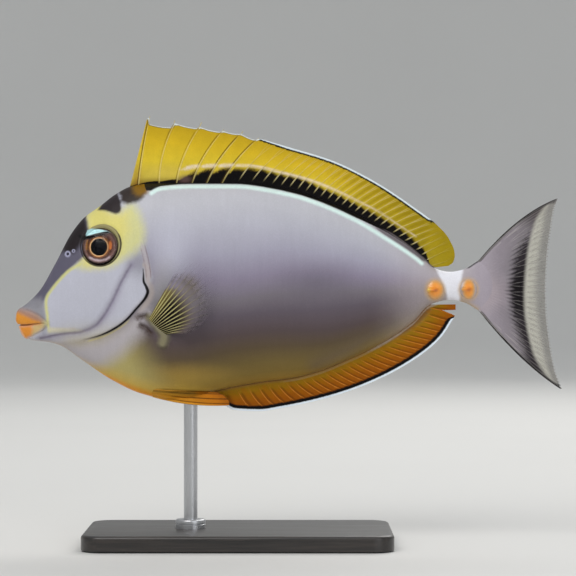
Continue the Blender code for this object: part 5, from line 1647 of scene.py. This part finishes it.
def tail_marks(a, t, u, v):
    """The numbers kept for painting the tail fin."""
    gap = path_distance(smooth_path(TAIL_BAND), u, v)[0]
    band_u, band_v = np.array(TAIL_BAND).T
    ahead = gap * np.where(u < np.interp(-v, -band_v, band_u), 1.0, -1.0)
    length = ray_length(tail_sheet, a)
    top, bottom = [path_distance(ray_path(tail_sheet, place, 1.0, 30), u, v)[0] for place in (0.0, 1.0)]
    branch = a * TAIL_RAY_COUNT * 2
    finger = 1 - np.abs(branch % 1.0 - 0.5) * 2
    uneven = 0.5 + 0.5 * np.sin(np.floor(branch) * 2.4) * np.sin(np.floor(branch) * 5.1 + 1.0)
    deep = np.interp(v, *np.array(BAND_DEPTH).T)
    weaker = 2.6 * ramp(v, 11.0, 24.0)
    front = ahead - deep - (0.8 + 2.0 * uneven) * (finger - 0.5) * (1 + 0.5 * ramp(v, 4.0, 20.0))
    core = np.maximum(np.abs(ahead - 0.44 * deep) - 0.36 * deep, np.maximum(v - 7.0, -9.0 - v) * 0.35)
    side_gap = np.minimum(top, bottom + 0.8 * (1 - ramp(t, -0.02, 0.06)))
    return {"share_up": unit(t), "behind_band": ahead, "film": ramp(-ahead, 0.0, 1.4),
            "tail_base_pink": spot_distance(PINK_BASE, u, v),
            "tail_band": np.maximum(front, -ahead - 1.0) + weaker, "tail_core": core + 0.9 * (0.5 - finger),
            "tip_dark": 24.0 - v - 0.35 * (u - 190.0),
            "very_tip": np.minimum(*[np.hypot(u - cu, v - cv) for cu, cv in TAIL_CORNERS]) - 1.2,
            "from_side": side_gap, "to_margin": (1 - t) * length, "along_ray": t * length,
            "ray_show": np.where(side_gap < 0.01, 0.1, 0.35 + 0.35 * ramp(np.abs(ahead - 2.4), 2.0, 4.0)
                                 + 0.3 * ramp(-ahead, 0.0, 2.0))}


def tail_half(a, t):
    """Half thickness of the tail fin's web, which thins towards its upper and lower edges."""
    root = 1.1 * (1 - 0.75 * np.abs(2 * a - 1) ** 3)
    return fin_half(t, root, EDGE_HALF, a * TAIL_RAY_COUNT * 2, 2.5, 1.2)


tail_places = (np.arange(TAIL_RAY_COUNT) + 0.5) / TAIL_RAY_COUNT
tail_lines = branched_rays(tail_places, TAIL_FORKS, TAIL_RAY_HALVES, (-0.1, 1.02), 30, 0.25)
for edge_a in (0.0, 1.0):
    t = np.linspace(-0.1, 1.0, 30)
    tail_lines.append((np.full(t.shape, edge_a), t, 0.24 - 0.1 * unit(t)))
piece = fin_piece("tail_fin_crescent", "tail_fin", tail_sheet, np.linspace(0.0, 1.0, TAIL_RAY_COUNT * 10 + 1),
                  foot_to_edge(0.12, 31), tail_half, tail_lines, tail_marks, tail_finish)


# The breast fins: a fan of stout olive rays in a film that is nearly clear, swung out
# from the side behind each gill cover.
PECTORAL_RAYS = [(50.2, -10.4, 61.5, 8.6), (50.8, -11.2, 66.5, 9.2), (51.6, -12.1, 71.0, 7.6),
                 (52.5, -13.0, 74.0, 3.5), (53.5, -14.0, 75.8, -2.0), (54.5, -15.0, 75.6, -7.6),
                 (55.4, -15.9, 72.0, -12.6), (56.3, -16.8, 65.6, -16.8)]
PECTORAL_SWING = 26.0
FAN_CLEARANCE = 1.1
FAN_BOW = 0.4
FAN_FORKS = [0.55]
FAN_RAY_HALF = 0.13
FAN_SPOT = (70.4, 7.4, 1.0, 1.0, 0.9)
PECTORAL_RAY_COUNT = 13
# Painted light: the film is painted this much lighter than the flank, to offset the shade on its swung-out
# face.
FILM_LIGHTER = (14, 14, 12)
PECTORAL_LAYERS = [
    ("fan_tint", 0.0, 3.4, 1.0, (126, 114, 90), 0.7),
    ("fan_spot", 0.0, 1.0, 0.4, (92, 86, 86), 0.8),
    ("root_gap", 0.0, 3.6, 2.0, (88, 76, 56), 0.85),
    ("root_gap", -3.0, 3.0, 1.6, (20, 14, 10), 1.0),
    ("bundle", 0.0, 1.2, 0.6, (120, 106, 52), 0.8),
]
# The film takes the flank's colours at the same height, painted light included, made lighter as above.
PECTORAL_STOPS = [(place_of, tuple(c + more for c, more in zip(shade, FILM_LIGHTER)))
                  for place_of, shade in FLANK]
pectoral_finish = fin_shader("breast fin film", PECTORAL_STOPS, PECTORAL_LAYERS, (192, 184, 128), 1.0,
                             (1.0, 0.0, 0.3), "height", 0.35)
fan_curves = column_curves(np.linspace(0.0, 1.0, len(PECTORAL_RAYS)), PECTORAL_RAYS)


def fan_sheet(side):
    """The sheet of one breast fin: across from the top ray to the bottom one, along outwards."""
    def sheet(a, t):
        root_u, root_v, tip_u, tip_v = [curve(a) for curve in fan_curves]
        length = np.hypot(tip_u - root_u, tip_v - root_v)
        out = half_width(root_u, root_v) + FAN_CLEARANCE + math.sin(math.radians(PECTORAL_SWING)) * length * t
        u = root_u + (tip_u - root_u) * t
        v = root_v + (tip_v - root_v) * t + bowed(FAN_BOW, t)
        return np.stack([u, side * out, v], axis=-1)
    return sheet


def fan_marks(a, t, u, v):
    """The numbers kept for painting a breast fin."""
    root_u, root_v, tip_u, tip_v = [curve(a) for curve in fan_curves]
    length = np.hypot(tip_u - root_u, tip_v - root_v)
    height = (v - belly(u)) / (back(u) - belly(u))
    fading = (0.84 + 0.1 * a) * ramp(t, 0.32 - 0.1 * a, 0.7 - 0.12 * a)
    return {"height": height, "fan_tint": np.hypot(u - 65.5, (v - 2.5) * 0.7) - 3.0,
            "fan_spot": spot_distance(FAN_SPOT, u, v),
            "root_gap": (t - 0.5 + 0.06 * np.abs(a - 0.4)) * length,
            "bundle": np.maximum((a - 0.2) * 14.0, (t - 0.5) * length), "film": ramp(t, 0.5, 0.88),
            "along_ray": t * length, "ray_show": (1 - fading) * (1 - 0.45 * ramp(a, 0.45, 1.0))}


fan_places = (np.arange(PECTORAL_RAY_COUNT) + 0.5) / PECTORAL_RAY_COUNT
for label, side in SIDES:
    sheet = fan_sheet(side)
    lines = [(a, t, FAN_RAY_HALF + 0.1 * ramp(t, 0.0, 0.3) - 0.14 * ramp(t, 0.45, 0.95))
             for a, t, _ in branched_rays(fan_places, FAN_FORKS, (1.0, 1.0), (-0.03, 0.99), 24, 0.22)]
    piece = fin_piece("breast_fin_" + label, "pectoral_fin_" + label, sheet,
                      np.linspace(0.0, 1.0, PECTORAL_RAY_COUNT * 8 + 1), foot_to_edge(0.03, 25),
                      lambda a, t: 0.09 - 0.05 * unit(t), lines, fan_marks, pectoral_finish)


# The belly fins: one spine and three rays each, folded back flat along the belly edge.
PELVIC_RAYS = [(50.6, -39.6, 78.6, -42.8), (50.4, -38.6, 78.6, -41.5), (50.3, -37.8, 77.0, -39.6),
               (50.4, -37.0, 74.2, -38.0)]
PELVIC_BOW = -1.2
PELVIC_CLEARANCE = 0.7
PELVIC_INNER = 3.3
PELVIC_LENGTH = 29.0
PELVIC_HALVES = (0.28, 0.2)
PELVIC_LINES = ((0.02, 0.45), (0.33, 0.32), (0.66, 0.32), (0.97, 0.3))
PELVIC_STOPS = [(0.0, (214, 150, 44)), (0.4, (212, 140, 32)), (0.8, (196, 118, 22)), (1.0, (170, 96, 20))]
PELVIC_LAYERS = [
    ("upper_part", 0.0, 1.0, 0.5, (146, 112, 40), 0.85),
    ("fold_gap", 0.0, 0.16, 0.1, (52, 32, 14), 0.9),
    ("from_edge", 0.22, 0.22, 0.1, (84, 52, 10), 0.8),
]
pelvic_finish = fin_shader("belly fin web", PELVIC_STOPS, PELVIC_LAYERS, (226, 166, 60), 0.5)
fold_curves = column_curves(np.linspace(0.0, 1.0, len(PELVIC_RAYS)), PELVIC_RAYS)


def fold_sheet(side):
    """The sheet of one belly fin: across from its lower edge to its upper one."""
    def sheet(a, t):
        root_u, root_v, tip_u, tip_v = [curve(a) for curve in fold_curves]
        u = root_u + (tip_u - root_u) * t
        v = root_v + (tip_v - root_v) * t + 4 * PELVIC_BOW * (1 - a) * t * (1 - t)
        rise = PELVIC_CLEARANCE * ramp(t, 0.0, 0.2) - 0.5 * (1 - ramp(t, 0.0, 0.12))
        out = np.maximum(half_width(u, v) + rise, PELVIC_INNER * ramp(t, 0.0, 0.3))
        return np.stack([u, side * out, v], axis=-1)
    return sheet


def fold_marks(a, t, u, v):
    """The numbers kept for painting a belly fin."""
    ray_share = np.abs((a * 3) % 1.0 - 0.5)
    return {"share_up": unit(t), "fold_gap": ray_share * 1.4 - 0.12 + 0.3 * (1 - ramp(t, 0.1, 0.3)),
            "along_ray": t * PELVIC_LENGTH, "upper_part": (0.62 - a) * 4.0 + 3.0 * ramp(t, 0.55, 0.8),
            "from_edge": np.minimum((1 - a) * 3.2, (1 - t) * PELVIC_LENGTH), "ray_show": np.ones(np.shape(a))}


for label, side in SIDES:
    sheet = fold_sheet(side)
    t = np.linspace(0.0, 0.99, 30)
    lines = [(np.full(t.shape, a), t, np.full(t.shape, r) * (1 - 0.6 * t))
             for a, r in PELVIC_LINES]
    piece = fin_piece("belly_fin_" + label, "pelvic_fin_" + label, sheet, np.linspace(0.0, 1.0, 25),
                      np.linspace(0.0, 1.0, 41), lambda a, t: fin_half(t, *PELVIC_HALVES, a * 3), lines,
                      fold_marks, pelvic_finish)


# The tail plates: two bony shields on each side of the stalk, each with a blunt keel that
# hooks forward; smooth, hard and orange.
PLATE_RADII = (3.5, 1.1, 4.0)
KEEL_REACH = 2.0
PLATE_CORES = {"front": (2.5, 2.9), "rear": (1.8, 3.1)}
KEEL_LENGTH = 2.6
KEEL_HALF = 0.65
KEEL_LEAN = 0.7
PLATE_SUNK = 0.35
PLATE_RINGS = 26
PLATE_TURNS = 64
plate_finish, tree, shader = new_finish("tail plate", 0.3, Coat_Weight=0.4, Coat_Roughness=0.15)
plate_noise = object_noise(tree, 900.0, 3.0)
plate_colour = colour_ramp(tree, stored(tree, "from_core"), [(0.0, (240, 138, 36)), (0.35, (250, 156, 46)),
                                                             (0.58, (240, 158, 62)), (0.74, (222, 162, 92)),
                                                             (0.9, (200, 166, 134)), (1.0, (184, 168, 164))])
plate_colour = painted(tree, plate_colour, [("swirl", 0.0, 0.5, 0.5, (196, 104, 24), 0.8),
                                            # Painted highlight on the tip of the keel.
                                            ("keel_highlight", 0.0, 0.6, 0.4, (250, 214, 104), 0.9)], plate_noise)
tree.links.new(toned(tree, plate_colour, plate_noise, 0.85, 1.15), shader.inputs["Base Color"])
embossed(tree, shader, plate_noise, 0.3, 0.0001)
for row, (centre_u, centre_v) in PLATE_CENTRES.items():
    for label, side in SIDES:
        rings, steps = PLATE_RINGS, PLATE_TURNS
        verts = [(0.0, 0.0)]
        for i in range(1, rings + 1):
            for k in range(steps):
                turn = 2 * math.pi * k / steps
                verts.append((i / rings * math.cos(turn), i / rings * math.sin(turn)))
        flat = np.array(verts)
        du = flat[:, 0] * PLATE_RADII[0]
        dv = flat[:, 1] * PLATE_RADII[2]
        share = np.hypot(flat[:, 0], flat[:, 1])
        swell = PLATE_RADII[1] * unit(1 - share ** 2) ** 1.15
        keel_along = unit((KEEL_LENGTH - du - 0.3) / (2 * KEEL_LENGTH))
        ridge = np.exp(-(np.abs(dv) / KEEL_HALF) ** 2.4)
        keel = KEEL_REACH * ramp(keel_along, 0.0, 0.9) * (1 - ramp(-du, 2.1, 2.9)) * ridge
        out = half_width(centre_u + du, centre_v + dv) - PLATE_SUNK * ramp(share, 0.8, 1.0) + swell + keel
        lean = -KEEL_LEAN * keel / KEEL_REACH
        top = placed(centre_u + du + lean, side * out, centre_v + dv)
        under = placed(np.full(1, centre_u), np.full(1, side * 0.5), np.full(1, centre_v))
        faces = [(0, 1 + k, 1 + (k + 1) % steps) for k in range(steps)]
        for i in range(rings - 1):
            for k in range(steps):
                a, b = 1 + i * steps + k, 1 + i * steps + (k + 1) % steps
                faces.append((a, a + steps, b + steps, b))
        last = 1 + (rings - 1) * steps
        faces += [(last + (k + 1) % steps, last + k, len(flat)) for k in range(steps)]
        mesh = bpy.data.meshes.new("plate_" + row + "_" + label)
        mesh.from_pydata(np.concatenate([top, under]), [], faces)
        face_outward(mesh)
        mesh.shade_smooth()
        core_u, core_v = PLATE_CORES[row]
        numbers = {"from_core": np.hypot(du / core_u, dv / core_v) * 0.72,
                   "swirl": np.hypot((du - 0.4) / 1.3, dv + 0.1 - 0.2 * du) - 0.5,
                   # Painted highlight on the front keel's tip.
                   "keel_highlight": np.hypot(du + 2.2, dv) - (0.7 if row == "front" else -0.4)}
        for mark, values in numbers.items():
            store(mesh, mark, np.concatenate([values, [1.0]]))
        plate = add_object("plate_" + row + "_" + label, mesh, plate_finish)
        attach(plate, "root")
        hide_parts("tail_plate_" + row + "_" + label)
